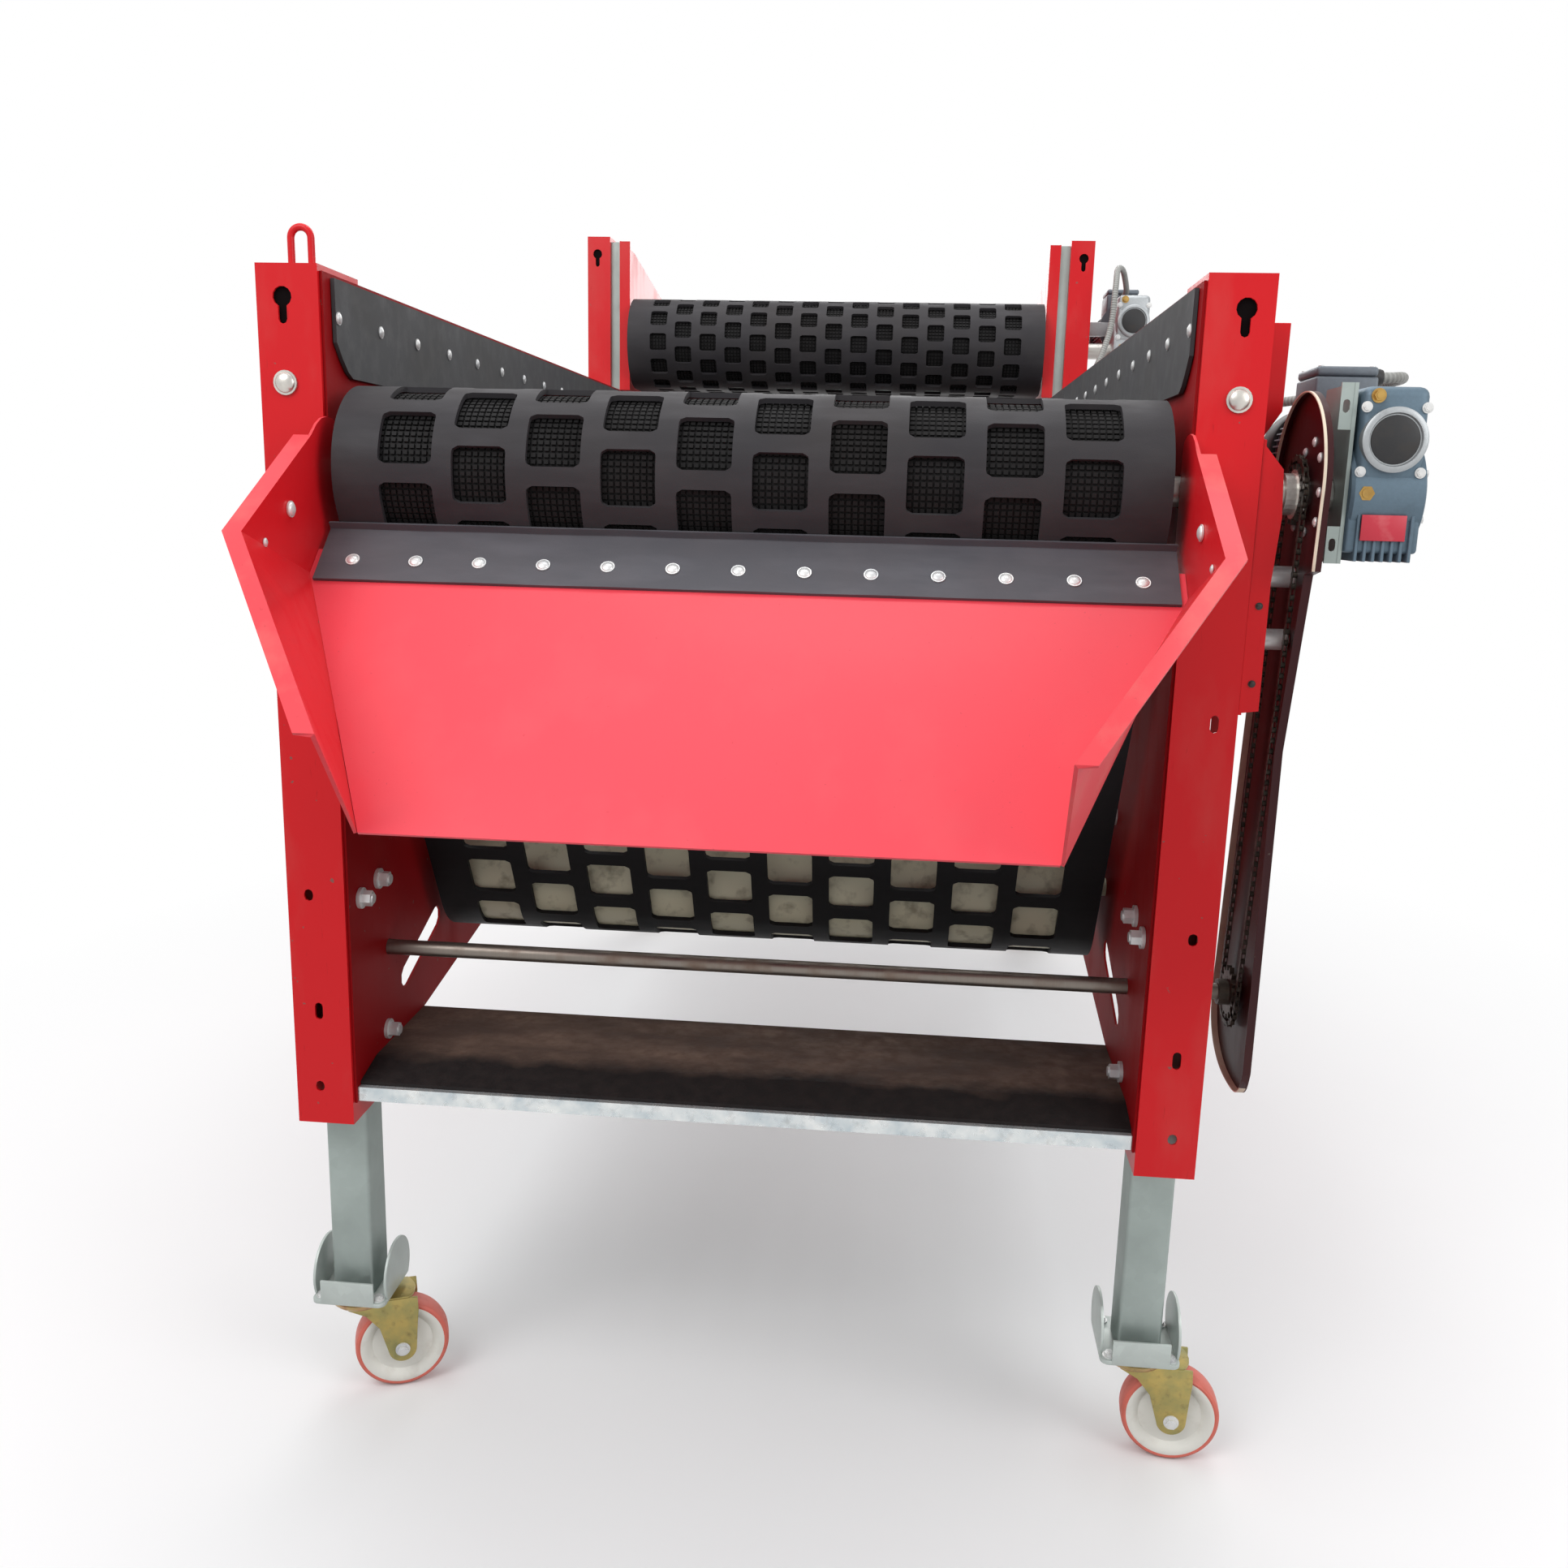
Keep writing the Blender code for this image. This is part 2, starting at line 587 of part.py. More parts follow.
def lifting_eye():
    """A bent bar on the left post's top, its legs behind the web."""
    y = POST_FRONT + POST_WALL + GAP + EYE_BAR + 0.0002
    middle = -(POST_INNER + EYE_SIDE)
    crown = FRONT_POST_TOP + 0.027
    foot = FRONT_POST_TOP - 0.062
    turn = [(middle - EYE_HALF * math.cos(a), y, crown + EYE_HALF * math.sin(a))
            for a in [math.pi * i / 8 for i in range(9)]]
    way = [(middle - EYE_HALF, y, foot)] + turn + [(middle + EYE_HALF, y, foot)]
    wire("lifting_eye", way, EYE_BAR, "red_paint")


# ---- chute --------------------------------------------------------------------------------------
def chute_slope():
    """Unit vectors in Y, Z: down the pan, and out of its upper face."""
    down = Vector((CHUTE_NOSE[1] - CHUTE_BEND[0], CHUTE_NOSE[2] - CHUTE_BEND[1])).normalized()
    return down, Vector((down.y, -down.x))


def chute_pan():
    """The sloping sheet, narrowing to its nose, with a turned-down front edge."""
    down, _ = chute_slope()
    top = Vector(CHUTE_BEND) - down * PAN_RISE
    wide = CHEEK_INNER - PAN_SEAT
    nose = CHUTE_NOSE[0] - PAN_SEAT

    def build(work):
        rows = [
            (wide, top.x, top.y), (wide, CHUTE_BEND[0], CHUTE_BEND[1]),
            (nose, CHUTE_NOSE[1], CHUTE_NOSE[2])]
        rails = [(work.verts.new((-x, y, z)), work.verts.new((x, y, z))) for x, y, z in rows]
        for (a, b), (c, d) in zip(rails, rails[1:]):
            work.faces.new((a, c, d, b))

    pan = place("chute_pan", mesh_from("chute_pan", build), (0, 0, 0), UPRIGHT, "red_paint")
    thicken(pan, PLATE)
    return pan


def thicken(thing, thickness):
    """Gives an open surface its sheet thickness on the side away from its face normals."""
    wall = thing.modifiers.new("sheet", "SOLIDIFY")
    wall.thickness = thickness
    wall.offset = -1
    wall.use_even_offset = True
    return thing


def chute_cheek(side, tag):
    """A folded cheek: upright beside the drum, then closing in along the pan, with a flange."""
    rear = SIDE_FRONT + SKIRT_SETBACK
    middle, radius = CHEEK_CROWN
    crown = arc((rear + middle[0], CHUTE_BEND[1] + middle[1]), radius, 60, 125, 4)

    def point(work, x, y, z):
        return work.verts.new((side * x, y, z))

    def build(work):
        base = point(work, CHEEK_INNER, rear, CHUTE_BEND[1])
        rise = point(work, CHEEK_INNER, rear, crown[0][1] - 0.012)
        top = [point(work, CHEEK_INNER, y, z) for y, z in crown]
        peak = point(work, CHEEK_INNER, *CHEEK_TOP)
        knee = point(work, CHEEK_INNER, *CHEEK_KNEE)
        bend = point(work, CHEEK_INNER, *CHUTE_BEND)
        knee_place = (CHEEK_INNER, *CHEEK_KNEE)
        crease = point(work, *[(a + b) / 2 for a, b in zip(knee_place, CHEEK_NOSE)])
        tip = point(work, *CHEEK_NOSE)
        corner = point(work, *CHUTE_NOSE)
        out = Vector((side * CHEEK_FLANGE, 0, 0))
        lips = [work.verts.new(v.co + out) for v in (peak, knee, crease, tip)]
        faces = [
            [base, rise] + top + [peak, knee, bend], [bend, knee, crease],
            [bend, crease, corner], [crease, tip, corner],
            [peak, lips[0], lips[1], knee], [knee, lips[1], lips[2], crease],
            [crease, lips[2], lips[3], tip]]
        for face in faces:
            work.faces.new(face[::-1] if side > 0 else face)

    cheek = place(f"chute_cheek_{tag}", mesh_from(f"chute_cheek_{tag}", build), (0, 0, 0),
                  UPRIGHT, "red_paint")
    return thicken(cheek, PLATE)


def chute_flap():
    """The rubber strip on the pan's upper edge that wipes the belt."""
    down, out = chute_slope()
    bend = Vector(CHUTE_BEND)
    low = bend + down * FLAP_DROP + out * GAP
    high = bend - down * FLAP_RISE + out * GAP
    outline = [tuple(low), tuple(high), tuple(high + out * FLAP), tuple(low + out * FLAP)]
    reach = CHEEK_INNER - FLAP_INSET
    plate("chute_flap", [outline], -reach, reach, IN_YZ, "rubber")


# ---- belts, drums and shafts --------------------------------------------------------------------
def belt(name, centres):
    """A closed band round its drums, its upper run level."""
    outer = around(centres, BELT_OUTER)
    inner = around(centres, BELT_INNER)
    half = BELT_WIDTH / 2
    plate(name, [outer, inner], -half, half, IN_YZ, "rubber")


def bored_drum(name, y, z, material):
    """A sheet drum with bored end discs, slid on its shaft."""
    half = DRUM_LENGTH / 2
    bore = SHAFT_RADIUS + GAP
    inside = DRUM_RADIUS - DRUM_WALL
    profile = [
        (DRUM_RADIUS, half), (DRUM_RADIUS, -half), (bore, -half), (bore, DRUM_END - half),
        (inside, DRUM_END - half), (inside, half - DRUM_END), (bore, half - DRUM_END),
        (bore, half)]
    turned(name, profile, (0, y, z), ALONG_X, material, steps=DRUM_STEPS, closed=True)


def stub_drum(name, y, z, reach, material):
    """A sheet drum with its axle welded through pierced end discs."""
    half = DRUM_LENGTH / 2
    disc = half - DISC_INSET
    inside = DRUM_RADIUS - DRUM_WALL
    profile = [
        (0, reach), (STUB_RADIUS, reach), (STUB_RADIUS, disc), (inside, disc), (inside, half),
        (DRUM_RADIUS, half), (DRUM_RADIUS, -half), (inside, -half), (inside, -disc),
        (STUB_RADIUS, -disc), (STUB_RADIUS, -reach), (0, -reach)]
    drum = turned(name, profile, (0, y, z), ALONG_X, material, steps=DRUM_STEPS)
    hollow = [
        (inside, disc - DRUM_END), (inside, DRUM_END - disc), (STUB_RADIUS, DRUM_END - disc),
        (STUB_RADIUS, disc - DRUM_END)]
    cut(drum, turned(f"{name}_hollow", hollow, (0, y, z), ALONG_X, steps=DRUM_STEPS,
                     closed=True))
    count, place_radius, hole = DISC_HOLES
    for number in range(count):
        angle = math.tau * number / count
        place_y = y + place_radius * math.cos(angle)
        place_z = z + place_radius * math.sin(angle)
        cut(drum, rod(f"{name}_hole_{number}", hole, -half, half, (0, place_y, place_z),
                      ALONG_X, sides=8))
    return drum


def shaft(name, y, z, left, right, radius=SHAFT_RADIUS):
    rod(name, radius, left, right, (0, y, z), ALONG_X, "bright_steel")


def bearing(name, side, seat, y, z):
    """A flanged bearing unit on the inner side of a post, its boss pointing outwards."""
    bore = SHAFT_RADIUS + GAP
    boss = SHAFT_RADIUS + 0.0115
    profile = [
        (boss, 0.030), (boss + 0.003, 0.012), (BEARING_FLANGE, 0.010), (BEARING_FLANGE, 0),
        (bore, 0), (bore, 0.030)]
    turn = ALONG_X if side > 0 else Matrix.Rotation(-math.pi / 2, 3, "Y").to_euler()
    turned(name, profile, (side * seat, y, z), turn, "cast_aluminium", steps=20, closed=True)


def rolling_parts():
    """Both belts with what turns inside them."""
    belt("coarse_belt", [(0, DECK_HEIGHT), (DECK_END, DECK_HEIGHT), LOWER_DRUM])
    belt("fine_belt", [(DECK_END, FINE_HEIGHT), (FINE_END, FINE_HEIGHT)])
    bored_drum("coarse_drum", 0, DECK_HEIGHT, "rubber")
    bored_drum("fine_drum", DECK_END, FINE_HEIGHT, "rubber")
    stub_drum("coarse_tail_drum", DECK_END, DECK_HEIGHT, POST_OUTER - 0.015, "galvanised")
    stub_drum("lower_drum", *LOWER_DRUM, POST_OUTER - 0.045, "cream_plastic")
    stub_drum("fine_tail_drum", FINE_END, FINE_HEIGHT, POST_OUTER - 0.035, "galvanised")
    shaft("coarse_shaft", 0, DECK_HEIGHT, 0.020 - POST_OUTER, FRONT_BOX_SIDE + BOX_WIDTH - 0.004)
    shaft("fine_shaft", DECK_END, FINE_HEIGHT, 0.010 - POST_OUTER,
          REAR_BOX_SIDE + BOX_WIDTH - 0.004)
    for side, tag in ((-1, "left"), (1, "right")):
        bearing(f"coarse_bearing_{tag}", side, POST_INNER + POST_WALL + GAP, 0, DECK_HEIGHT)
        bearing(f"fine_bearing_{tag}", side, MID_POST_INNER + POST_WALL + GAP, DECK_END,
                FINE_HEIGHT)
    shaft("cross_shaft", *ROD_AXIS, 0.050 - POST_OUTER, CHAIN_SIDE + 0.008, ROD_RADIUS)


# ---- chain drive --------------------------------------------------------------------------------
def sprocket(name, y, z, bore):
    """A toothed wheel with a hub on its inner side."""
    root = SPROCKET_RADIUS - 0.006
    rim = []
    for tooth in range(SPROCKET_TEETH):
        middle = 360.0 * tooth / SPROCKET_TEETH
        step = 360.0 / SPROCKET_TEETH
        rim += arc((y, z), root, middle - 0.25 * step, middle - 0.25 * step, 0)
        rim += arc((y, z), SPROCKET_RADIUS, middle - 0.08 * step, middle + 0.08 * step, 1)
        rim += arc((y, z), root, middle + 0.25 * step, middle + 0.25 * step, 0)
    low = CHAIN_SIDE - CHAIN_WIDTH / 2
    high = CHAIN_SIDE + CHAIN_WIDTH / 2
    wheel = plate(name, [rim], low, high, IN_YZ, "chain_steel")
    hub = rod(f"{name}_hub", bore + SPROCKET_HUB, low - 0.012, high - 0.002, (0, y, z), ALONG_X)
    join(wheel, hub)
    return cut(wheel, rod(f"{name}_bore", bore + GAP, low - 0.02, high + 0.01, (0, y, z),
                          ALONG_X, sides=24))


def drive_chain():
    centres = [(0, DECK_HEIGHT), ROD_AXIS]
    inner = around(centres, SPROCKET_RADIUS + 2 * GAP, 14)
    outer = around(centres, SPROCKET_RADIUS + 2 * GAP + CHAIN, 14)
    low = CHAIN_SIDE - CHAIN_WIDTH / 2
    high = CHAIN_SIDE + CHAIN_WIDTH / 2
    plate("drive_chain", [outer, inner], low, high, IN_YZ, "chain_steel")


def guard_outline():
    """Clockwise: a round lobe over the drum's sprocket, then a slim leg to the lower one."""
    brow = [(y, DECK_HEIGHT + z) for y, z in GUARD_BROW]
    lobe = arc((0.005, DECK_HEIGHT + 0.010), GUARD_LOBE, 190, -18, 14)
    foot = [(ROD_AXIS[0] + y, ROD_AXIS[1] + z) for y, z in GUARD_FOOT]
    waist = [(y, DECK_HEIGHT + z) for y, z in GUARD_WAIST]
    return brow + lobe + foot + waist


def chain_guard():
    """A folded cover that is open towards the machine."""
    outline = guard_outline()
    cover = plate("chain_guard", [outline], GUARD_SIDE - GUARD_RIM, GUARD_SIDE + GUARD_SHEET,
                  IN_YZ, "maroon_paint")
    hollow = plate("guard_hollow", [shrunk(outline, GUARD_SHEET)],
                   GUARD_SIDE - GUARD_RIM - WEB_CUT, GUARD_SIDE, IN_YZ)
    hole = rod("guard_shaft_cutter", SHAFT_HOLE, GUARD_SIDE - WEB_CUT, GUARD_SIDE + WEB_CUT,
               (0, 0, DECK_HEIGHT), ALONG_X)
    return cut(cover, hollow, hole)


def drive_bracket():
    """The plate on the right post's outer face, with the guard's two spacers."""
    low = POST_OUTER + GAP
    high = low + BRACKET_SHEET
    front_edge, rear_edge = -0.046, 0.142
    face = [
        (front_edge, -0.240), (0.060, -0.240), (0.062, -0.105), (rear_edge, -0.045),
        (rear_edge, 0.165), (0.070, 0.165), (0.020, 0.065), (front_edge, 0.055)]
    face = [(y, DECK_HEIGHT + rise) for y, rise in face]
    bracket = plate("drive_bracket", [face], low, high, IN_YZ, "red_paint")
    root = low + 0.001
    bow = [(root, -0.238), (low + 0.022, -0.235), (low + 0.022, -0.095), (low + 0.027, -0.025),
           (low + 0.024, 0.025), (root, 0.052)]
    bow = [(x, DECK_HEIGHT + rise) for x, rise in bow]
    front = plate("bracket_front_flange", [bow], -front_edge - 0.0035, -front_edge + 0.0005,
                  IN_XZ)
    rear = box("bracket_rear_flange", (root, rear_edge - 0.004, DECK_HEIGHT - 0.025),
               (low + 0.026, rear_edge + 0.0005, DECK_HEIGHT + 0.164))
    cut(bracket, cross_hole("bracket_shaft_cutter", 1, low - WEB_CUT, high + WEB_CUT, 0,
                            DECK_HEIGHT))
    join(bracket, front, rear)
    for drop in SPACER_DROPS:
        join(bracket, rod(f"guard_spacer_{drop}", SPACER_RADIUS, low + 0.002, GUARD_SIDE - GAP,
                          (0, SPACER_PLACE, DECK_HEIGHT - drop), ALONG_X, sides=16))
    return bracket


# ---- gearboxes and motors -----------------------------------------------------------------------
def gearbox(name, side, y, z):
    """A worm gearbox on the end of a drum shaft, its worm above and along the machine."""
    far = side + BOX_WIDTH
    base = box(name, (side, y - 0.055, z - 0.070), (far, y + 0.057, z + 0.020),
               "cast_aluminium")
    worm = box(f"{name}_worm", (side + 0.003, y - 0.060, z + 0.010),
               (far - 0.003, y + BOX_REAR, z + 0.112))
    wheel = rod(f"{name}_wheel", 0.061, side, far + 0.006, (0, y, z), ALONG_X, sides=28)
    cap = rod(f"{name}_cap", 0.034, y - 0.068, y, (side + BOX_WIDTH / 2, 0, z + BOX_RISE),
              ALONG_Y, sides=24)
    join(base, worm, wheel, cap)
    return cut(base, rod(f"{name}_bore", SHAFT_RADIUS + GAP, side - 0.01, far + 0.02,
                         (0, y, z), ALONG_X, sides=24))


def gear_motor(name, side, y, z):
    """A flanged motor behind its gearbox, with a fan cowl and a terminal box on top."""
    start = y + BOX_REAR + GAP
    middle = side + BOX_WIDTH / 2
    height = z + BOX_RISE
    profile = [
        (0, MOTOR_LENGTH), (MOTOR_COWL - 0.007, MOTOR_LENGTH), (MOTOR_COWL, MOTOR_LENGTH - 0.008),
        (MOTOR_COWL, MOTOR_LENGTH - 0.052), (MOTOR_RADIUS, MOTOR_LENGTH - 0.054),
        (MOTOR_RADIUS, 0.028), (0.040, 0.018), (MOTOR_FLANGE, 0.010), (MOTOR_FLANGE, 0),
        (0, 0)]
    motor = turned(name, profile, (middle, start, height), ALONG_Y, "motor_grey", steps=28)
    top = box(f"{name}_terminals", (middle - 0.036, start + 0.055, height + 0.030),
              (middle + 0.036, start + 0.140, height + 0.092))
    return join(motor, top)


def torque_arm():
    """The arm that keeps the front gearbox from turning, with its stay to the bracket."""
    high = FRONT_BOX_SIDE - GAP
    low = high - BRACKET_SHEET
    face = [
        (-0.050, -0.072), (0.030, -0.072), (0.140, -0.029), (0.140, 0.009), (0.062, 0.015),
        (0.050, 0.075), (0.050, 0.115), (-0.050, 0.115)]
    face = [(y, DECK_HEIGHT + rise) for y, rise in face]
    arm = plate("torque_arm", [face], low, high, IN_YZ, "galvanised")
    tip = FRONT_BOX_SIDE - 0.0175
    for mark, foot, top in (("upper", 0.067, 0.115), ("lower", -0.072, -0.033)):
        foot, top = foot + DECK_HEIGHT, top + DECK_HEIGHT
        ear = [(tip, foot), (high - 0.001, foot), (high - 0.001, top), (tip, top)]
        hole = slot((tip + 0.0065, (foot + top) / 2), 0.014, 0.007)
        join(arm, plate(f"arm_ear_{mark}", [ear, hole], 0.0465, 0.0495, IN_XZ))
    join(arm, rod("arm_stay", STAY_RADIUS, POST_OUTER + BRACKET_SHEET + 2 * GAP, low + 0.002,
                  (0, 0.125, DECK_HEIGHT - 0.010), ALONG_X, sides=16))
    return cut(arm, rod("arm_shaft_cutter", SHAFT_HOLE, low - WEB_CUT, high + WEB_CUT,
                        (0, 0, DECK_HEIGHT), ALONG_X))


def power_parts():
    """Front and rear drives, and the conduit between their terminal boxes."""
    gearbox("front_gearbox", FRONT_BOX_SIDE, 0, DECK_HEIGHT)
    gear_motor("front_motor", FRONT_BOX_SIDE, 0, DECK_HEIGHT)
    rear = gearbox("rear_gearbox", REAR_BOX_SIDE, DECK_END, FINE_HEIGHT)
    join(rear, box("rear_stay", (POST_OUTER + GAP, DECK_END + 0.030, FINE_HEIGHT + 0.036),
                   (REAR_BOX_SIDE + 0.010, DECK_END + 0.050, FINE_HEIGHT + 0.066)))
    gear_motor("rear_motor", REAR_BOX_SIDE, DECK_END, FINE_HEIGHT)
    torque_arm()
    conduit()


CONDUIT_RADIUS = 0.0065
CONDUIT_ROUTE = [
    (0.7172, 0.152, 1.364), (0.738, 0.152, 1.364), (0.757, 0.168, 1.366), (0.764, 0.205, 1.366),
    (0.745, 0.255, 1.362), (0.690, 0.330, 1.352), (0.600, 0.420, 1.345), (0.525, 0.500, 1.350),
    (0.4915, 0.590, 1.358), (0.4858, 0.700, 1.360), (0.4858, 0.900, 1.360),
    (0.4858, 1.100, 1.360), (0.4872, 1.240, 1.364), (0.500, 1.340, 1.392),
    (0.545, 1.420, 1.470), (0.583, 1.465, 1.570), (0.592, 1.485, 1.660), (0.600, 1.530, 1.706),
    (0.620, 1.590, 1.712), (0.638, 1.650, 1.684), (0.640, 1.686, 1.675),
    (0.640, 1.7046, 1.675)]


def smooth(points, steps):
    """Points on a Catmull-Rom curve through the given ones."""
    ends = [points[0]] + list(points) + [points[-1]]
    quads = zip(ends, ends[1:], ends[2:], ends[3:])
    line = []
    for a, b, c, d in quads:
        a, b, c, d = Vector(a), Vector(b), Vector(c), Vector(d)
        for i in range(steps):
            t = i / steps
            line.append(0.5 * (2 * b + (c - a) * t + (2 * a - 5 * b + 4 * c - d) * t * t
                               + (3 * b - a - 3 * c + d) * t ** 3))
    return line + [Vector(points[-1])]


def conduit():
    wire("motor_conduit", smooth(CONDUIT_ROUTE, 2), CONDUIT_RADIUS, "grey_conduit")


# ---- legs and castors ---------------------------------------------------------------------------
def leg(name, side, y):
    """A square tube in its post, on a foot plate with turned-up round ears."""
    x = side * LEG_SIDE
    half = TUBE / 2
    foot = CASTOR_HEIGHT
    seat = foot + FOOT_SHEET
    tube = box(name, (-half, -half, foot + 0.002), (half, half, TUBE_TOP), "galvanised",
               at=(x, y, 0))
    inside = half - TUBE_WALL
    cut(tube, box(f"{name}_hollow", (-inside, -inside, seat),
                  (inside, inside, TUBE_TOP + WEB_CUT), at=(x, y, 0)))
    pad = box(f"{name}_pad", (-FOOT / 2, -FOOT / 2, foot), (FOOT / 2, FOOT / 2, seat),
              at=(x, y, 0))
    lip_half = FOOT / 2 - 0.014
    lip = box(f"{name}_lip", (-lip_half, -FOOT / 2, foot + 0.001),
              (lip_half, EAR_SHEET - FOOT / 2, foot + 0.034), at=(x, y, 0))
    join(tube, pad, lip)
    for hand in (-1, 1):
        ear = arc((0.004, 0.026), EAR_RADIUS, -30, 210, 10)
        ear += [(0.010 - EAR_RADIUS, 0.002), (EAR_RADIUS - 0.002, 0.002)]
        ends = sorted((hand * FOOT / 2, hand * (FOOT / 2 - EAR_SHEET)))
        join(tube, plate(f"{name}_ear_{hand}", [ear], ends[0], ends[1], IN_YZ,
                         at=(x, y, foot)))
    return tube


def castor(tag, side, y, heading):
    """A swivel fork with its axle, and the wheel that turns on it."""
    axis = Vector((side * LEG_SIDE, y, 0))
    turn = Matrix.Rotation(math.radians(heading), 3, "Z")
    top = CASTOR_HEIGHT - GAP
    crown = top - 0.008
    name = f"castor_fork_{tag}"
    head = rod(name, FORK_HEAD, crown, top, axis, turn.to_euler(), "yellow_zinc", sides=24)
    inner = WHEEL_WIDTH / 2 + FORK_PLAY
    outer = inner + FORK_SHEET
    nose = CASTOR_TRAIL + FORK_NOSE
    bridge = box(f"{name}_bridge", (-outer + 0.001, -outer, crown - 0.004),
                 (nose, outer, crown + 0.002), turn=turn.to_euler(), at=axis)
    join(head, bridge)
    blade = arc((CASTOR_TRAIL, WHEEL_RADIUS), 0.014, 180, 360, 8)
    blade = [(nose, crown - 0.001), (-0.020, crown - 0.001)] + blade
    sideways = (turn @ IN_XZ.to_matrix()).to_euler()
    for hand in (-1, 1):
        ends = sorted((hand * inner, hand * outer))
        join(head, plate(f"{name}_blade_{hand}", [blade], ends[0], ends[1], sideways, at=axis))
    hub = axis + turn @ Vector((CASTOR_TRAIL, 0, WHEEL_RADIUS))
    across = (turn @ ALONG_Y.to_matrix()).to_euler()
    join(head, rod(f"{name}_axle", AXLE_RADIUS, -outer - 0.004, outer + 0.004, hub, across,
                   sides=12))
    half = WHEEL_WIDTH / 2
    rim = WHEEL_RADIUS - 0.0165
    boss = AXLE_RADIUS + 0.010
    bore = AXLE_RADIUS + GAP
    profile = [
        (WHEEL_RADIUS - 0.004, half), (WHEEL_RADIUS, half - 0.006), (WHEEL_RADIUS, 0.006 - half),
        (WHEEL_RADIUS - 0.004, -half), (rim, -half), (rim - 0.002, 0.006 - half),
        (boss + 0.002, 0.006 - half), (boss, -half - 0.003), (bore, -half - 0.003),
        (bore, half + 0.003), (boss, half + 0.003), (boss + 0.002, half - 0.006),
        (rim - 0.002, half - 0.006), (rim, half)]
    turned(f"castor_wheel_{tag}", profile, hub, across, "white_nylon", steps=24, closed=True)


# ---- assembly -----------------------------------------------------------------------------------
def assemble():
    for side, tag in ((-1, "left"), (1, "right")):
        front_post(side, tag)
        mid_post(side, tag)
        mid_spacer(side, tag)
        tail_post(side, tag)
        side_plate(side, tag)
        upper_plate(side, tag)
        skirt(side, tag)
        chute_cheek(side, tag)
        for end, y in (("front", FRONT_LEG), ("rear", TAIL_LEG)):
            leg(f"leg_{end}_{tag}", side, y)
            castor(f"{end}_{tag}", side, y, CASTOR_HEADINGS[f"{end}_{tag}"])
    cross_parts()
    lifting_eye()
    chute_pan()
    chute_flap()
    rolling_parts()
    sprocket("drum_sprocket", 0, DECK_HEIGHT, SHAFT_RADIUS)
    sprocket("cross_sprocket", *ROD_AXIS, ROD_RADIUS)
    drive_chain()
    chain_guard()
    drive_bracket()
    power_parts()


assemble()
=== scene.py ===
"""Looks of the square-mesh belt grader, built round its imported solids.

Working frame: metres, X = 0 on the machine's centre line, Y = 0 at the coarse drum's axis, Z = 0 on
the floor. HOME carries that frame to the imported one.
"""
import math

import bmesh
import bpy
from mathutils import Euler, Matrix, Vector


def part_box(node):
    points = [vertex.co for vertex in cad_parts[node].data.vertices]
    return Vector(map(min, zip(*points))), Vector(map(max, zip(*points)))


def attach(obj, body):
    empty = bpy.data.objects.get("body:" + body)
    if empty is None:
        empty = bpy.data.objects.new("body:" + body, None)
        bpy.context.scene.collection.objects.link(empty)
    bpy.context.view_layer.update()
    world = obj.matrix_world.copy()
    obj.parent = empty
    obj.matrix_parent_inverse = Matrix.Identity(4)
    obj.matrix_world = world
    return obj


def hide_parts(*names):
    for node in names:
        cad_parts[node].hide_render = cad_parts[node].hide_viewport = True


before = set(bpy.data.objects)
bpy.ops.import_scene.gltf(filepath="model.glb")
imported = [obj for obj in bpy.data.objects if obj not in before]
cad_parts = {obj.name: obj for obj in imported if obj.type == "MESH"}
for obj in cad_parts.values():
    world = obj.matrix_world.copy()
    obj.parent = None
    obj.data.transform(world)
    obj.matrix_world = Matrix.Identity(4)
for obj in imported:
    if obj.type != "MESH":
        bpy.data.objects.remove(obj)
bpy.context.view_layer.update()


def middle(node):
    """The middle of a node's box."""
    low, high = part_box(node)
    return (low + high) / 2


HOME = Vector((middle("coarse_belt").x, middle("coarse_drum").y, 0))
ACROSS, ALONG, UP = (1, 0, 0), (0, 1, 0), (0, 0, 1)
SIDES = ((-1, "left"), (1, "right"))
ENDS = ("front_left", "front_right", "rear_left", "rear_right")

# ---- sizes ----------------------------------------------------------------------------------
DECK = 1.225                # height of the coarse deck's drum axes
DECK_END = 1.585            # axis of the coarse tail drum and of the fine drum
LOWER = (0.300, 0.685)      # axis of the lower return drum
CROSS = (0.075, 0.620)      # axis of the cross shaft
FINE = 1.544                # height of the fine deck's drum axes
FINE_END = 2.0765
BELT_MID = 0.0937           # radius of a belt's middle layer on its drum
BELT = 0.006                # thickness of a belt
BELT_HALF = 0.4525          # half the width of a belt
GRID = 24                   # lines in one pitch of a belt's holes
DRUM = 0.090
DRUM_HALF = 0.450           # half the length of a drum
SHAFT = 0.0165
PLATE_OUT = 0.4787          # outer and inner faces of the side plates
PLATE_IN = 0.4757
POST_FRONT = -0.050         # front face of the front posts
SPACERS = (1.135, 1.065)    # heights of the guard's spacers
SPACER_PLACE = 0.0073       # and their place along the machine
WORM_RISE = 0.057           # a gearbox's worm above its shaft


# ---- camera, lights and floor ---------------------------------------------------------------
EYE = (0.180, -1.563, 1.2026)
EYE_TURNS = (-4.923, 11.771, -1.439)        # yaw, pitch and roll in degrees
FOCAL_LENGTH = 31.01
SENSOR = 36.0
LAMPS = (                   # place, aim, size, power
    ("key", (-1.6, -2.2, 3.4), (0, 0.2, 1.0), 2.4, 60),
    ("fill", (2.6, -1.4, 2.2), (0, 0.5, 0.9), 2.0, 26),
    ("top", (0.0, 1.0, 4.0), (0, 0.8, 1.0), 3.0, 55),
    ("back", (0.4, 4.6, 2.6), (0, 1.2, 1.0), 2.4, 35))


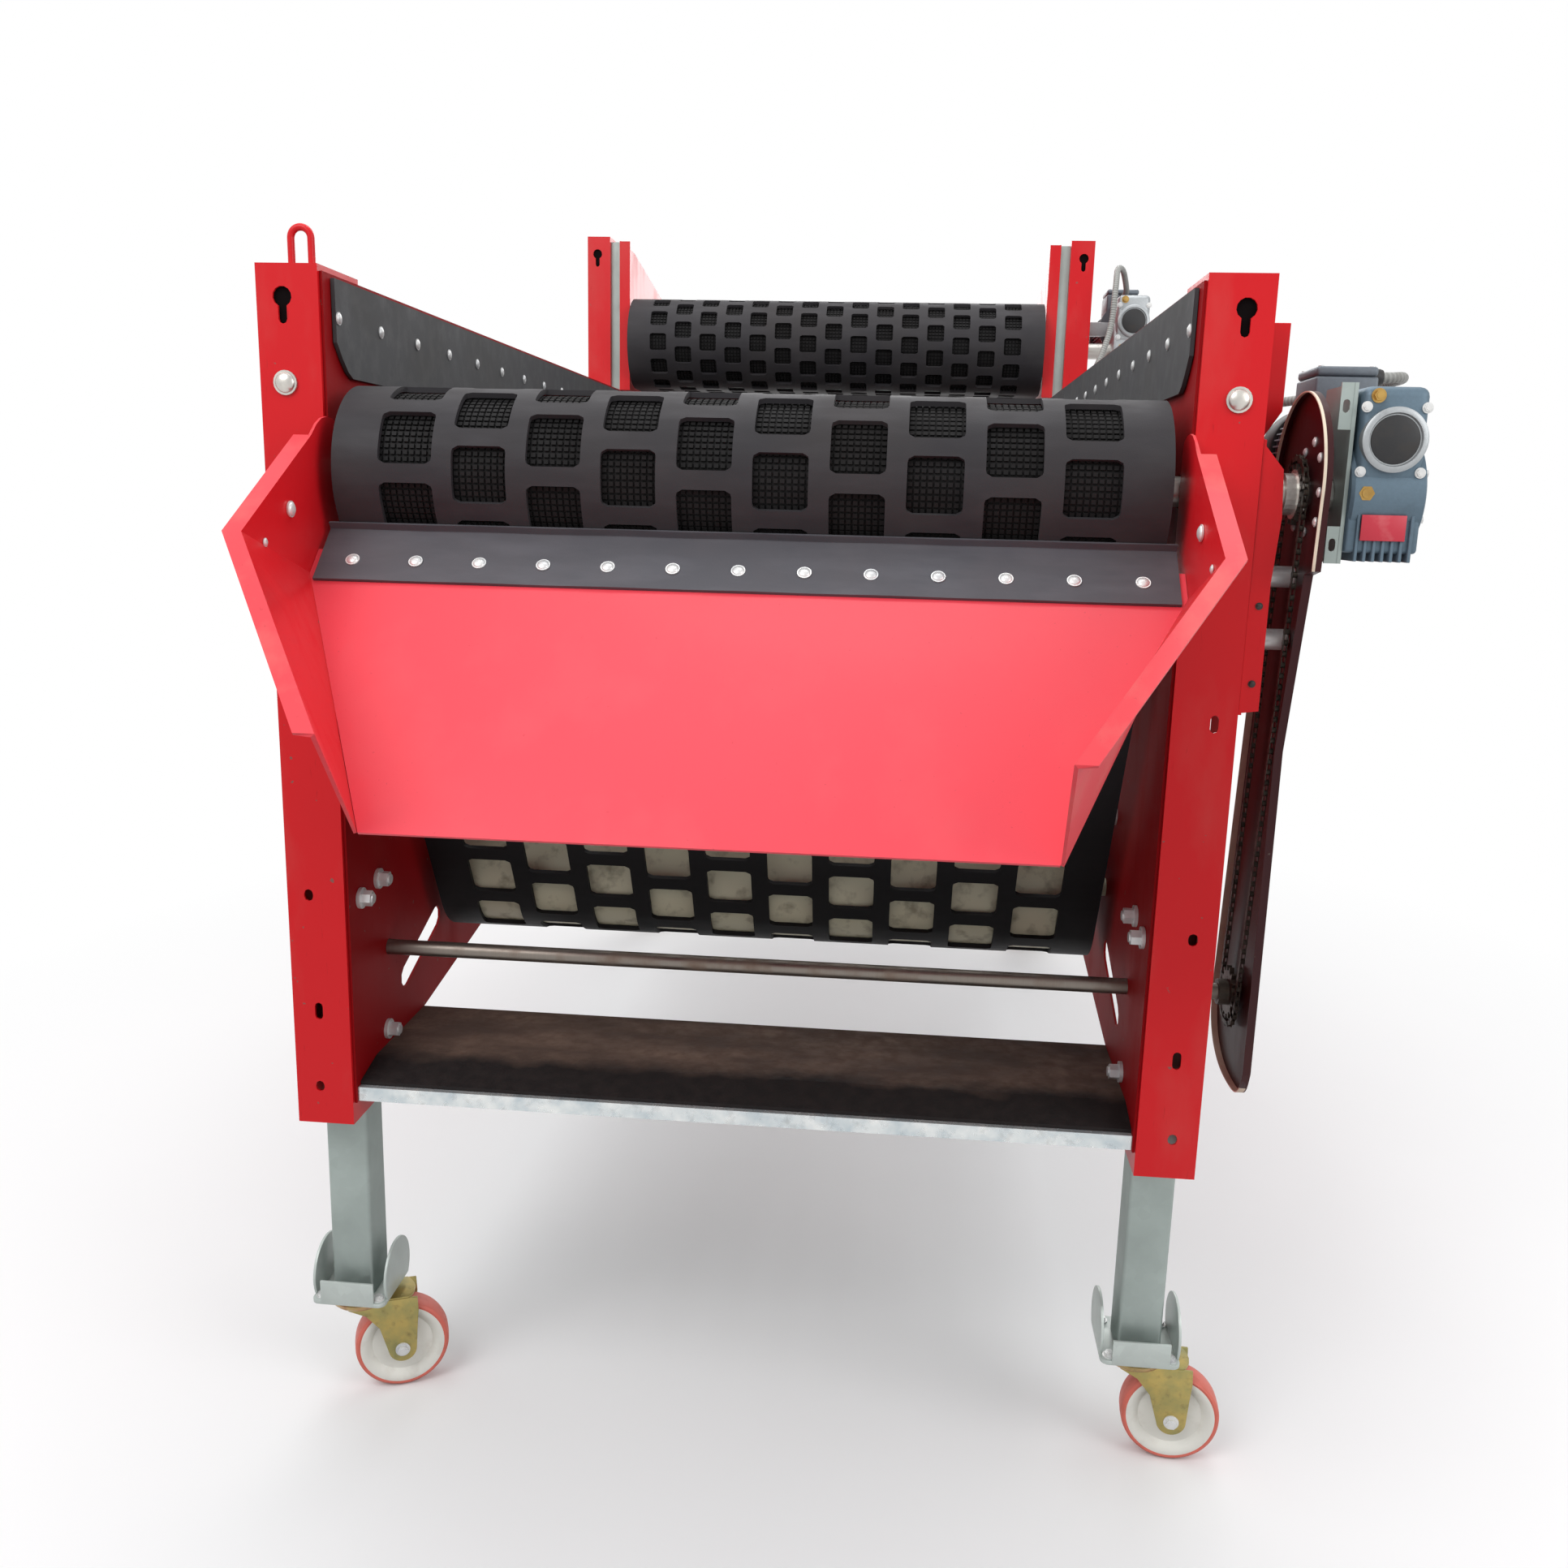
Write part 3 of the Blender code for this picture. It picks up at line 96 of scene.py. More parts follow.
def placed(name, data):
    """A new object in the scene."""
    thing = bpy.data.objects.new(name, data)
    bpy.context.scene.collection.objects.link(thing)
    return thing


def studio():
    """The camera and four soft lamps."""
    scene = bpy.context.scene
    scene.view_settings.view_transform = "Standard"
    lens = bpy.data.cameras.new("camera")
    lens.lens = FOCAL_LENGTH
    lens.sensor_width = SENSOR
    eye = placed("camera", lens)
    yaw, pitch, roll = (math.radians(a) for a in EYE_TURNS)
    ahead = Vector((math.sin(yaw) * math.cos(pitch), math.cos(yaw) * math.cos(pitch),
                    -math.sin(pitch)))
    level = Vector((math.cos(yaw), -math.sin(yaw), 0))
    drop = ahead.cross(level)
    right = math.cos(roll) * level + math.sin(roll) * drop
    down = -math.sin(roll) * level + math.cos(roll) * drop
    eye.matrix_world = Matrix((right, -down, -ahead)).transposed().to_4x4()
    eye.location = HOME + Vector(EYE)
    scene.camera = eye
    for name, place, aim, size, power in LAMPS:
        lamp = bpy.data.lights.new(name, "AREA")
        lamp.shape = "DISK"
        lamp.size = size
        lamp.energy = power
        light = placed(name, lamp)
        light.location = HOME + Vector(place)
        way = HOME + Vector(aim) - light.location
        light.rotation_euler = way.to_track_quat("-Z", "Y").to_euler()


WHITE = (1.0, 1.0, 1.0, 1.0)


def seen_directly(tree):
    """One where the camera, a mirror or a clear piece looks at the surface, nought for light."""
    rays = tree.nodes.new("ShaderNodeLightPath")
    total = None
    for name in ("Is Camera Ray", "Is Glossy Ray", "Is Transmission Ray"):
        if total is None:
            total = rays.outputs[name]
            continue
        most = tree.nodes.new("ShaderNodeMath")
        most.operation = "MAXIMUM"
        tree.links.new(total, most.inputs[0])
        tree.links.new(rays.outputs[name], most.inputs[1])
        total = most.outputs[0]
    return total


def surroundings():
    """A pale world and a floor that keeps the shadow and fades to white."""
    world = bpy.data.worlds.new("studio")
    bpy.context.scene.world = world
    world.use_nodes = True
    tree = world.node_tree
    sky = tree.nodes["Background"]
    sky.inputs["Color"].default_value = (0.96, 0.98, 1.0, 1.0)
    sky.inputs["Strength"].default_value = 0.62
    page = tree.nodes.new("ShaderNodeBackground")
    page.inputs["Color"].default_value = WHITE
    mix = tree.nodes.new("ShaderNodeMixShader")
    tree.links.new(seen_directly(tree), mix.inputs[0])
    tree.links.new(sky.outputs[0], mix.inputs[1])
    tree.links.new(page.outputs[0], mix.inputs[2])
    tree.links.new(mix.outputs[0], tree.nodes["World Output"].inputs["Surface"])
    mesh = bpy.data.meshes.new("floor")
    reach, level = 9.0, -0.0005
    corners = ((-reach, -reach), (reach, -reach), (reach, reach), (-reach, reach))
    mesh.from_pydata([HOME + Vector((x, y, level)) for x, y in corners], [], [(0, 1, 2, 3)])
    floor = placed("floor", mesh)
    ground = Finish("floor_white", (0.62, 0.62, 0.62), 0.9)
    cloud = ground.noise(3.0, 2)
    seen = Field(ground, seen_directly(ground.tree))
    shown = ground.blend((0.95, 0.95, 0.95), (0.93, 0.93, 0.93), cloud)
    ground.feed("Base Color", ground.blend((0.42, 0.41, 0.40), shown, seen))
    span = ground.node("VectorMath", {"operation": "LENGTH"}, {
        0: ground.place(stretch=(0.85, 0.62, 1.0))}, out=1)
    glow = ground.tree.nodes.new("ShaderNodeEmission")
    glow.inputs["Color"].default_value = WHITE
    fade = ground.tree.nodes.new("ShaderNodeMixShader")
    ground.tree.links.new((seen * ground.step(span, 0.75, 1.9)).socket, fade.inputs[0])
    ground.tree.links.new(ground.shader.outputs[0], fade.inputs[1])
    ground.tree.links.new(glow.outputs[0], fade.inputs[2])
    ground.tree.links.new(fade.outputs[0],
                          ground.tree.nodes["Material Output"].inputs["Surface"])
    mesh.materials.append(ground.material)


# ---- shader maths ---------------------------------------------------------------------------
class Field:
    """A varying value of a finish, which takes part in sums."""

    def __init__(self, finish, socket):
        self.finish = finish
        self.socket = socket

    def sum_with(self, operation, first, second):
        """The result of a Math node on two values."""
        return self.finish.node("Math", {"operation": operation}, {0: first, 1: second})

    def __add__(self, other):
        return self.sum_with("ADD", self, other)

    __radd__ = __add__

    def __mul__(self, other):
        return self.sum_with("MULTIPLY", self, other)

    __rmul__ = __mul__

    def __sub__(self, other):
        return self.sum_with("SUBTRACT", self, other)

    def __rsub__(self, other):
        return self.sum_with("SUBTRACT", other, self)


class Finish:
    """A material with the nodes that vary it over a surface."""

    def __init__(self, name, colour, roughness, metallic=0.0, coat=0.0):
        self.material = bpy.data.materials.new(name)
        self.material.use_nodes = True
        self.tree = self.material.node_tree
        self.shader = self.tree.nodes["Principled BSDF"]
        self.shader.inputs["Base Color"].default_value = (*colour, 1.0)
        self.shader.inputs["Roughness"].default_value = roughness
        self.shader.inputs["Metallic"].default_value = metallic
        self.shader.inputs["Coat Weight"].default_value = coat
        self.shader.inputs["Coat Roughness"].default_value = 0.12

    def node(self, kind, settings=None, values=None, out=0):
        """One output of a new shader node, its settings made before its sockets."""
        made = self.tree.nodes.new("ShaderNode" + kind)
        for key, value in (settings or {}).items():
            if key == "stops":
                self.set_stops(made.color_ramp, value)
            else:
                setattr(made, key, value)
        for key, value in (values or {}).items():
            if isinstance(value, Field):
                self.tree.links.new(value.socket, made.inputs[key])
            else:
                made.inputs[key].default_value = value
        return Field(self, made.outputs[out])

    @staticmethod
    def set_stops(ramp, stops):
        """Grey stops of a ramp, each a position and a value."""
        while len(ramp.elements) < len(stops):
            ramp.elements.new(0.5)
        for element, (position, value) in zip(ramp.elements, stops):
            element.position = position
            element.color = (value, value, value, 1.0)

    def feed(self, socket, value):
        """Links a value to one of the shader's sockets."""
        self.tree.links.new(value.socket, self.shader.inputs[socket])

    def place(self, stretch=(1, 1, 1), turn=(0, 0, 0), uv=False):
        """Where a point lies, on the object or on its map."""
        source = self.node("TexCoord", out="UV" if uv else "Object")
        return self.node("Mapping", {}, {"Vector": source, "Scale": stretch, "Rotation": turn})

    def noise(self, scale, detail=3, stretch=(1, 1, 1), turn=(0, 0, 0), rough=0.55):
        """Cloudy noise of about nought to one, scale patches to the metre."""
        return self.node("TexNoise", {}, {
            "Vector": self.place(stretch, turn), "Scale": scale, "Detail": detail,
            "Roughness": rough})

    def step(self, value, low, high):
        """Nought below low, one above high."""
        return self.node("MapRange", {"clamp": True}, {
            "Value": value, "From Min": low, "From Max": high})

    def blend(self, first, second, factor):
        """A colour between two."""
        values = {"Factor": factor}
        for key, colour in (("A", first), ("B", second)):
            values[key] = colour if isinstance(colour, Field) else (*colour, 1.0)
        made = self.tree.nodes.new("ShaderNodeMix")
        made.data_type = "RGBA"
        names = {"Factor": made.inputs[0], "A": made.inputs[6], "B": made.inputs[7]}
        for key, value in values.items():
            if isinstance(value, Field):
                self.tree.links.new(value.socket, names[key])
            else:
                names[key].default_value = value
        return Field(self, made.outputs[2])

    def done(self, colour, roughness, height, strength, distance):
        """The material with its colour, roughness and relief from a varying height."""
        self.feed("Base Color", colour)
        self.feed("Roughness", roughness)
        self.feed("Normal", self.node("Bump", {}, {
            "Height": height, "Strength": strength, "Distance": distance}))
        return self.material


def shade(colour, factor):
    """A lighter or darker colour."""
    return tuple(min(1.0, c * factor) for c in colour)


def srgb(red, green, blue):
    """A colour given as it is seen, made linear."""
    values = [c / 255 for c in (red, green, blue)]
    return tuple(c / 12.92 if c <= 0.04045 else ((c + 0.055) / 1.055) ** 2.4 for c in values)


def paint(name, colour, roughness=0.3, coat=0.06, dust=(0.45, 0.36, 0.30), dirt=0.10,
          shine=0.22, chipped=0.8, inward=None):
    """Sprayed paint on sheet steel: orange peel, faint fading, dust and small scuffs.

    inward, where given, is painted shade and reflection: the deeper colour of faces turned to the
    middle of the machine.
    """
    made = Finish(name, colour, roughness, coat=coat)
    made.shader.inputs["Specular IOR Level"].default_value = shine
    fade = made.step(made.noise(2.5, 2), 0.25, 0.80)
    body = made.blend(colour, shade(colour, 0.88), fade)
    haze = made.step(made.noise(14.0, 5, stretch=(1, 1, 0.35)), 0.50, 0.78)
    body = made.blend(body, dust, haze * dirt)
    scuff = made.step(made.noise(260.0, 2, stretch=(1, 1, 0.12), turn=(0.5, 0.2, 0.4)), 0.70, 0.78)
    chips = made.step(made.noise(70.0, 4), 0.715, 0.74)
    body = made.blend(body, shade(colour, 0.45), scuff * 0.35)
    body = made.blend(body, (0.16, 0.12, 0.10), chips * chipped)
    # painted shade and reflection: faces turned to the middle of the machine take the deeper colour
    if inward:
        across = made.node("SeparateXYZ", {}, {"Vector": made.place()}, out=0) - HOME.x
        leans = made.node("SeparateXYZ", {}, {"Vector": made.node("TexCoord", out="Normal")},
                          out=0)
        body = made.blend(body, inward, made.step(across * leans * -1.0, 0.25, 0.33))
    return made.done(body, roughness + haze * 0.18 + scuff * 0.2,
                     made.noise(420.0, 2), 0.10, 0.0004)


def rubber(name, colour, dust, roughness=0.55, dirt=0.35, grain=700.0, shine=0.25, low_run_shade=0):
    """Worn rubber: dust in patches, rubbed streaks and a fine grain.

    Its last argument, where given, is painted shade: the low run of a belt, below the deck, is
    darkened to that share of its colour.
    """
    made = Finish(name, colour, roughness)
    made.shader.inputs["Specular IOR Level"].default_value = shine
    patch = made.step(made.noise(9.0, 5), 0.42, 0.72)
    rub = made.step(made.noise(40.0, 3, stretch=(0.25, 1, 1)), 0.45, 0.75)
    body = made.blend(colour, shade(colour, 1.7), rub * 0.35)
    body = made.blend(body, dust, patch * dirt)
    # painted shade: below the deck the belt's colour darkens towards the given share
    if low_run_shade:
        height = made.node("SeparateXYZ", {}, {"Vector": made.place()}, out=2)
        body = made.blend(shade(colour, low_run_shade), body, made.step(height, 0.80, 1.05))
    return made.done(body, roughness + patch * 0.2 - rub * 0.08,
                     made.noise(grain, 2) + made.noise(60.0, 2) * 0.8, 0.22, 0.0006)


def galvanised(name, colour, roughness=0.42, metallic=0.65):
    """Zinc dipped steel with its spangle and dull patches."""
    made = Finish(name, colour, roughness, metallic)
    spangle = made.node("TexVoronoi", {"feature": "F1"}, {
        "Vector": made.place(), "Scale": 85.0}, out="Color")
    spangle = made.node("RGBToBW", {}, {"Color": spangle})
    dull = made.step(made.noise(7.0, 4), 0.40, 0.70)
    body = made.blend(colour, shade(colour, 1.22), spangle * 0.7)
    body = made.blend(body, shade(colour, 0.72), dull * 0.5)
    return made.done(body, roughness + spangle * 0.16 + dull * 0.12,
                     made.noise(300.0, 2), 0.06, 0.0004)


def plated(name, colour, other, roughness=0.26, metallic=0.85, dirt=0.4):
    """Thin plating with a drifting tint and a little grime."""
    made = Finish(name, colour, roughness, metallic)
    tint = made.step(made.noise(38.0, 3), 0.35, 0.7)
    grime = made.step(made.noise(90.0, 5), 0.55, 0.75)
    body = made.blend(colour, other, tint)
    body = made.blend(body, (0.10, 0.08, 0.06), grime * dirt)
    return made.done(body, roughness + grime * 0.35, made.noise(500.0, 2), 0.05, 0.0003)


def turned_steel(name, colour, along, roughness=0.28, rust=0.25):
    """Turned bar: fine rings across its length and light rust."""
    stretch = [0.04, 0.04, 0.04]
    stretch[along] = 1.0
    made = Finish(name, colour, roughness, 0.9)
    rings = made.noise(900.0, 2, stretch=tuple(stretch))
    stain = made.step(made.noise(24.0, 5), 0.50, 0.78)
    body = made.blend(shade(colour, 0.82), colour, rings)
    body = made.blend(body, srgb(120, 84, 58), stain * rust)
    return made.done(body, roughness + stain * 0.35 + rings * 0.08, rings, 0.06, 0.0002)


def hubbed(name, colour, rim, height):
    """Sprocket steel: a bright turned hub inside oily teeth, round an axis at a height."""
    made = Finish(name, colour, 0.3, 0.75)
    place = made.node("Mapping", {}, {"Vector": made.node("TexCoord", out="Object"),
                                      "Location": (0, -HOME.y, -height), "Scale": (0, 1, 1)})
    reach = made.node("VectorMath", {"operation": "LENGTH"}, {0: place}, out=1)
    outer = made.step(reach, 0.0262, 0.0272)
    oil = made.step(made.noise(60.0, 4), 0.45, 0.7)
    body = made.blend(colour, rim, outer)
    return made.done(made.blend(body, shade(rim, 0.4), oil * 0.5), 0.28 + outer * 0.15 + oil * 0.2,
                     made.noise(400.0, 2), 0.08, 0.0003)


def cast(name, colour, metallic=0.35, roughness=0.48):
    """Cast housing: sandy skin with oil in its hollows."""
    made = Finish(name, colour, roughness, metallic)
    sand = made.noise(260.0, 4)
    oil = made.step(made.noise(22.0, 4), 0.52, 0.76)
    body = made.blend(shade(colour, 0.85), shade(colour, 1.12), sand)
    body = made.blend(body, shade(colour, 0.35), oil * 0.45)
    return made.done(body, roughness - oil * 0.18 + sand * 0.08, sand, 0.20, 0.0006)


def moulded(name, colour, roughness=0.42, dirt=0.3, grime=(0.20, 0.16, 0.12)):
    """Moulded plastic with handling marks."""
    made = Finish(name, colour, roughness)
    mark = made.step(made.noise(46.0, 5), 0.52, 0.74)
    soft = made.noise(8.0, 2)
    body = made.blend(colour, shade(colour, 0.90), soft)
    body = made.blend(body, grime, mark * dirt)
    return made.done(body, roughness + mark * 0.25, made.noise(600.0, 2), 0.06, 0.0003)


def dusty_tray(name):
    """Dark sheet, near black at the front and under a skin of dry soil further back."""
    base = srgb(34, 30, 30)
    made = Finish(name, base, 0.75)
    made.shader.inputs["Specular IOR Level"].default_value = 0.2
    rear = made.node("SeparateXYZ", {}, {"Vector": made.place()}, out=1)
    edge = made.noise(16.0, 4) * 0.06
    soil = made.step(rear + edge, HOME.y + 0.045, HOME.y + 0.085)
    sweep = made.step(made.noise(22.0, 6, stretch=(0.4, 1, 1)), 0.36, 0.70)
    cake = made.step(made.noise(60.0, 6), 0.40, 0.66)
    dry = made.blend(srgb(84, 68, 60), srgb(124, 102, 88), sweep)
    dry = made.blend(dry, srgb(92, 76, 68), cake * 0.6)
    body = made.blend(base, srgb(58, 50, 48), cake * 0.35)
    return made.done(made.blend(body, dry, soil), 0.68 + cake * 0.2,
                     made.noise(180.0, 5) + cake, 0.35, 0.0012)


def ribbed_hose(name, colour):
    """Corrugated conduit, its ribs counted along its length, the grooves between them darkened as
    painted shade.
    """
    made = Finish(name, colour, 0.5)
    ribs = made.node("TexWave", {"wave_type": "BANDS", "bands_direction": "X"}, {
        "Vector": made.place(uv=True), "Scale": 62.0, "Distortion": 0.0})
    mark = made.step(made.noise(30.0, 4), 0.5, 0.75)
    # painted shade: the grooves between the ribs are darker
    body = made.blend(shade(colour, 0.72), colour, ribs)
    return made.done(made.blend(body, srgb(90, 80, 70), mark * 0.35), 0.45 + mark * 0.25,
                     ribs, 0.6, 0.0012)


RED = srgb(222, 26, 34)
FINISH = {}


def finishes():
    """Makes every finish of the machine."""
    steel = srgb(196, 194, 188)
    FINISH.update({
        "red": paint("gloss_red_paint", RED),
        "dark_red": paint("shaded_red_paint", srgb(152, 8, 16), 0.6, 0.0, (0.30, 0.16, 0.13),
                          0.06, shine=0.12),
        # painted light: paler, pinker copies of the red paint on the chute's pan and cheeks stand
        # in for the glare on the gloss paint
        "pan_glare_red": paint("pan_red_painted_glare", srgb(244, 74, 88), 0.34, 0.12, srgb(226, 118, 118),
                         0.10, 0.3, 0.0),
        # painted shade and reflection: the cheeks' faces turned to the middle take the last colour,
        # a deeper red
        "glare_lit_red": paint("chute_red_painted_glare", srgb(232, 66, 76), 0.42, 0.1, srgb(208, 140, 126),
                           0.42, 0.3, 0.15, srgb(216, 24, 34)),
        # painted shade: the chain guard's red paint, darkened to the maroon it shows in shade
        "guard_shade_red": paint("maroon_paint", srgb(54, 8, 14), 0.42, 0.1, srgb(110, 70, 62), 0.16),
        "pale_edge": moulded("pale_edge_strip", srgb(232, 218, 196), 0.5, 0.25,
                             srgb(150, 120, 98)),
        # painted shadow: near-black finish for the sheets that stand in for the shade inside the
        # posts' keyholes
        "shadow": rubber("painted_shadow_sheet", srgb(10, 6, 7), srgb(24, 16, 16), 0.8, 0.3, shine=0.08),
        "dome": plated("dull_dome_zinc", srgb(216, 212, 204), srgb(176, 174, 170), 0.30, 0.8,
                       0.3),
        # painted shade: the belt's low run, under the deck, is darkened
        "belt": rubber("mesh_belt_rubber", srgb(48, 46, 49), srgb(74, 70, 69), shine=0.2,
                       low_run_shade=0.18),
        "lagging": rubber("lagging_rubber", srgb(19, 18, 19), srgb(38, 34, 32), 0.75, 0.3, 400.0),
        "skirt": rubber("skirt_rubber", srgb(50, 51, 54), srgb(86, 84, 82), 0.6, 0.4,
                        shine=0.5),
        "flap": rubber("flap_rubber", srgb(76, 75, 81), srgb(106, 100, 102), 0.6, 0.3,
                       shine=0.45),
        "galvanised": galvanised("galvanised_steel", srgb(160, 170, 166)),
        "zinc": plated("bright_zinc", srgb(232, 232, 230), srgb(206, 208, 210), 0.30, 0.35, 0.15),
        "gold": plated("yellow_zinc", srgb(186, 164, 98), srgb(150, 146, 96), 0.30, 0.75, 0.35),
        "bright": turned_steel("turned_bright_steel", steel, 0),
        "dull": turned_steel("dull_cross_bar", srgb(138, 130, 122), 0, 0.34, 0.45),
        "casting": cast("blue_grey_casting", srgb(96, 116, 130)),
        "silver": cast("silver_casting", srgb(172, 176, 178), 0.6, 0.38),
        "motor": cast("motor_paint", srgb(104, 112, 120), 0.2, 0.42),
        "cream": moulded("cream_drum_cover", srgb(206, 202, 176), 0.5, 0.6, srgb(96, 84, 66)),
        "nylon": moulded("white_nylon", srgb(240, 238, 230), 0.38, 0.2, srgb(170, 150, 132)),
        "tread": moulded("red_tread", srgb(224, 112, 96), 0.46, 0.3, srgb(150, 100, 86)),
        "tray": dusty_tray("dusty_tray"),
        "hose": ribbed_hose("grey_conduit", srgb(158, 158, 154)),
        "chain": plated("oiled_chain_steel", srgb(92, 86, 78), srgb(60, 54, 48), 0.4, 0.85, 0.6),
        "sprocket": hubbed("drum_sprocket_steel", srgb(214, 212, 206), srgb(70, 62, 56), DECK),
        "clamp": galvanised("clamp_zinc", srgb(190, 198, 194), 0.34, 0.5),
        "lip": plated("bright_tray_lip", srgb(196, 206, 210), srgb(236, 238, 236), 0.24, 0.6,
                      0.2),
        "copper": plated("coppery_zinc", srgb(196, 150, 112), srgb(180, 160, 104), 0.30, 0.7,
                         0.35),
        "brass": plated("brass_plug", srgb(196, 160, 92), srgb(160, 126, 70), 0.3, 0.9, 0.3),
        "black": moulded("black_plastic", srgb(30, 30, 32), 0.5, 0.3, srgb(80, 72, 64)),
        "tag": moulded("blank_red_tag", srgb(206, 52, 70), 0.4, 0.3, srgb(230, 150, 150)),
        "dark_steel": plated("dark_steel", srgb(70, 68, 66), srgb(52, 48, 46), 0.45, 0.7, 0.5),
    })


# ---- meshes ---------------------------------------------------------------------------------
def at(x, y, z):
    """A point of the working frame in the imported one."""
    return HOME + Vector((x, y, z))


def piece(name, mesh, finish, body="frame", stands_for=(), smooth=35.0):
    """A finished mesh that rides on a body."""
    mesh.materials.clear()
    mesh.materials.append(FINISH[finish])
    if smooth:
        mesh.shade_smooth()
        mesh.set_sharp_from_angle(angle=math.radians(smooth))
    thing = placed(name, mesh)
    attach(thing, body)
    if stands_for:
        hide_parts(*stands_for)
    return thing


def ended(work, name="mesh"):
    """The mesh of a finished bmesh."""
    mesh = bpy.data.meshes.new(name)
    work.to_mesh(mesh)
    work.free()
    return mesh


def mesh_of(build, bevel=0.0, segments=2):
    """A mesh filled by a function on a bmesh, its edges rounded when asked."""
    work = bmesh.new()
    build(work)
    bmesh.ops.remove_doubles(work, verts=work.verts, dist=0.000005)
    bmesh.ops.recalc_face_normals(work, faces=work.faces)
    if bevel:
        sharp = [e for e in work.edges if len(e.link_faces) == 2
                 and e.calc_face_angle(0) > math.radians(30)]
        bmesh.ops.bevel(work, geom=sharp, offset=bevel, segments=segments, affect="EDGES",
                        profile=0.5, clamp_overlap=True)
    return ended(work)


def block(low, high):
    """Adds a box between two corners of the working frame."""
    size = [b - a for a, b in zip(low, high)]
    centre = at(*[(a + b) / 2 for a, b in zip(low, high)])
    form = Matrix.Translation(centre) @ Matrix.Diagonal((*size, 1))
    return lambda work: bmesh.ops.create_cube(work, size=1, matrix=form)


def frame_on(axis):
    """A turn that takes Z to a direction."""
    return Vector(axis).to_track_quat("Z", "Y").to_matrix().to_4x4()


def lathe(profile, centre, axis, steps=64, closed=False):
    """Adds a turned shape: radius and height pairs from one end to the other."""
    form = Matrix.Translation(at(*centre)) @ frame_on(axis)

    def build(work):
        rings = []
        for radius, height in profile:
            if radius < 0.00001:
                rings.append([work.verts.new(form @ Vector((0, 0, height)))])
                continue
            rings.append([work.verts.new(form @ Vector((
                radius * math.cos(math.tau * i / steps), radius * math.sin(math.tau * i / steps),
                height))) for i in range(steps)])
        pairs = list(zip(rings, rings[1:]))
        if closed:
            pairs.append((rings[-1], rings[0]))
        for one, two in pairs:
            for i in range(steps):
                j = (i + 1) % steps
                corners = list(dict.fromkeys((one[i % len(one)], one[j % len(one)],
                                              two[j % len(two)], two[i % len(two)])))
                if len(corners) > 2:
                    work.faces.new(corners)
    return build


def skin(work, rings, caps=True):
    """Adds the faces between each ring of corners and the next, and over the two ends."""
    for one, two in zip(rings, rings[1:]):
        for i in range(len(one)):
            j = (i + 1) % len(one)
            work.faces.new((one[i], one[j], two[j], two[i]))
    if caps:
        work.faces.new(rings[0][::-1])
        work.faces.new(rings[-1])


def prism(outline, low, high, place):
    """Adds a flat outline between two depths. place turns (x, y, depth) into the frame."""
    return lambda work: skin(work, [[work.verts.new(place(x, y, depth)) for x, y in outline]
                                    for depth in (low, high)])


def in_xz(x, y, depth):
    """A point drawn across and up, its depth along the machine."""
    return at(x, depth, y)


def arc(centre, radius, start, end, steps):
    """Points along an arc, its ends in degrees."""
    angles = [math.radians(start + (end - start) * i / steps) for i in range(steps + 1)]
    return [(centre[0] + radius * math.cos(a), centre[1] + radius * math.sin(a)) for a in angles]


def together(*builders):
    """Adds several shapes to one mesh."""
    def build(work):
        for one in builders:
            one(work)
    return build


def tube_mesh(points, radius, sides=16):
    """A round tube along points, its map counting metres along and turns round."""
    points = [Vector(p) for p in points]
    ways = []
    for i, point in enumerate(points):
        before = points[max(i - 1, 0)]
        after = points[min(i + 1, len(points) - 1)]
        ways.append((after - before).normalized())
    side = ways[0].orthogonal().normalized()
    travelled = [0.0]
    for one, two in zip(points, points[1:]):
        travelled.append(travelled[-1] + (two - one).length)
    work = bmesh.new()
    layer = work.loops.layers.uv.new("UVMap")
    rings = []
    for point, way in zip(points, ways):
        side = (side - way * side.dot(way)).normalized()
        other = way.cross(side)
        rings.append([work.verts.new(point + radius * (
            math.cos(math.tau * i / sides) * side + math.sin(math.tau * i / sides) * other))
            for i in range(sides)])
    for row, (one, two) in enumerate(zip(rings, rings[1:])):
        for i in range(sides):
            j = (i + 1) % sides
            face = work.faces.new((one[i], one[j], two[j], two[i]))
            marks = [(travelled[row], i), (travelled[row], i + 1), (travelled[row + 1], i + 1),
                     (travelled[row + 1], i)]
            for loop, (length, turn) in zip(face.loops, marks):
                loop[layer].uv = (length, turn / sides)
    work.faces.new(rings[0][::-1])
    work.faces.new(rings[-1])
    return ended(work, "tube")


def smooth(points, steps):
    """Points on a Catmull-Rom curve through the given ones."""
    ends = [points[0]] + list(points) + [points[-1]]
    line = []
    for a, b, c, d in zip(ends, ends[1:], ends[2:], ends[3:]):
        a, b, c, d = Vector(a), Vector(b), Vector(c), Vector(d)
        for i in range(steps):
            t = i / steps
            line.append(0.5 * (2 * b + (c - a) * t + (2 * a - 5 * b + 4 * c - d) * t * t
                               + (3 * b - a - 3 * c + d) * t ** 3))
    return line + [Vector(points[-1])]


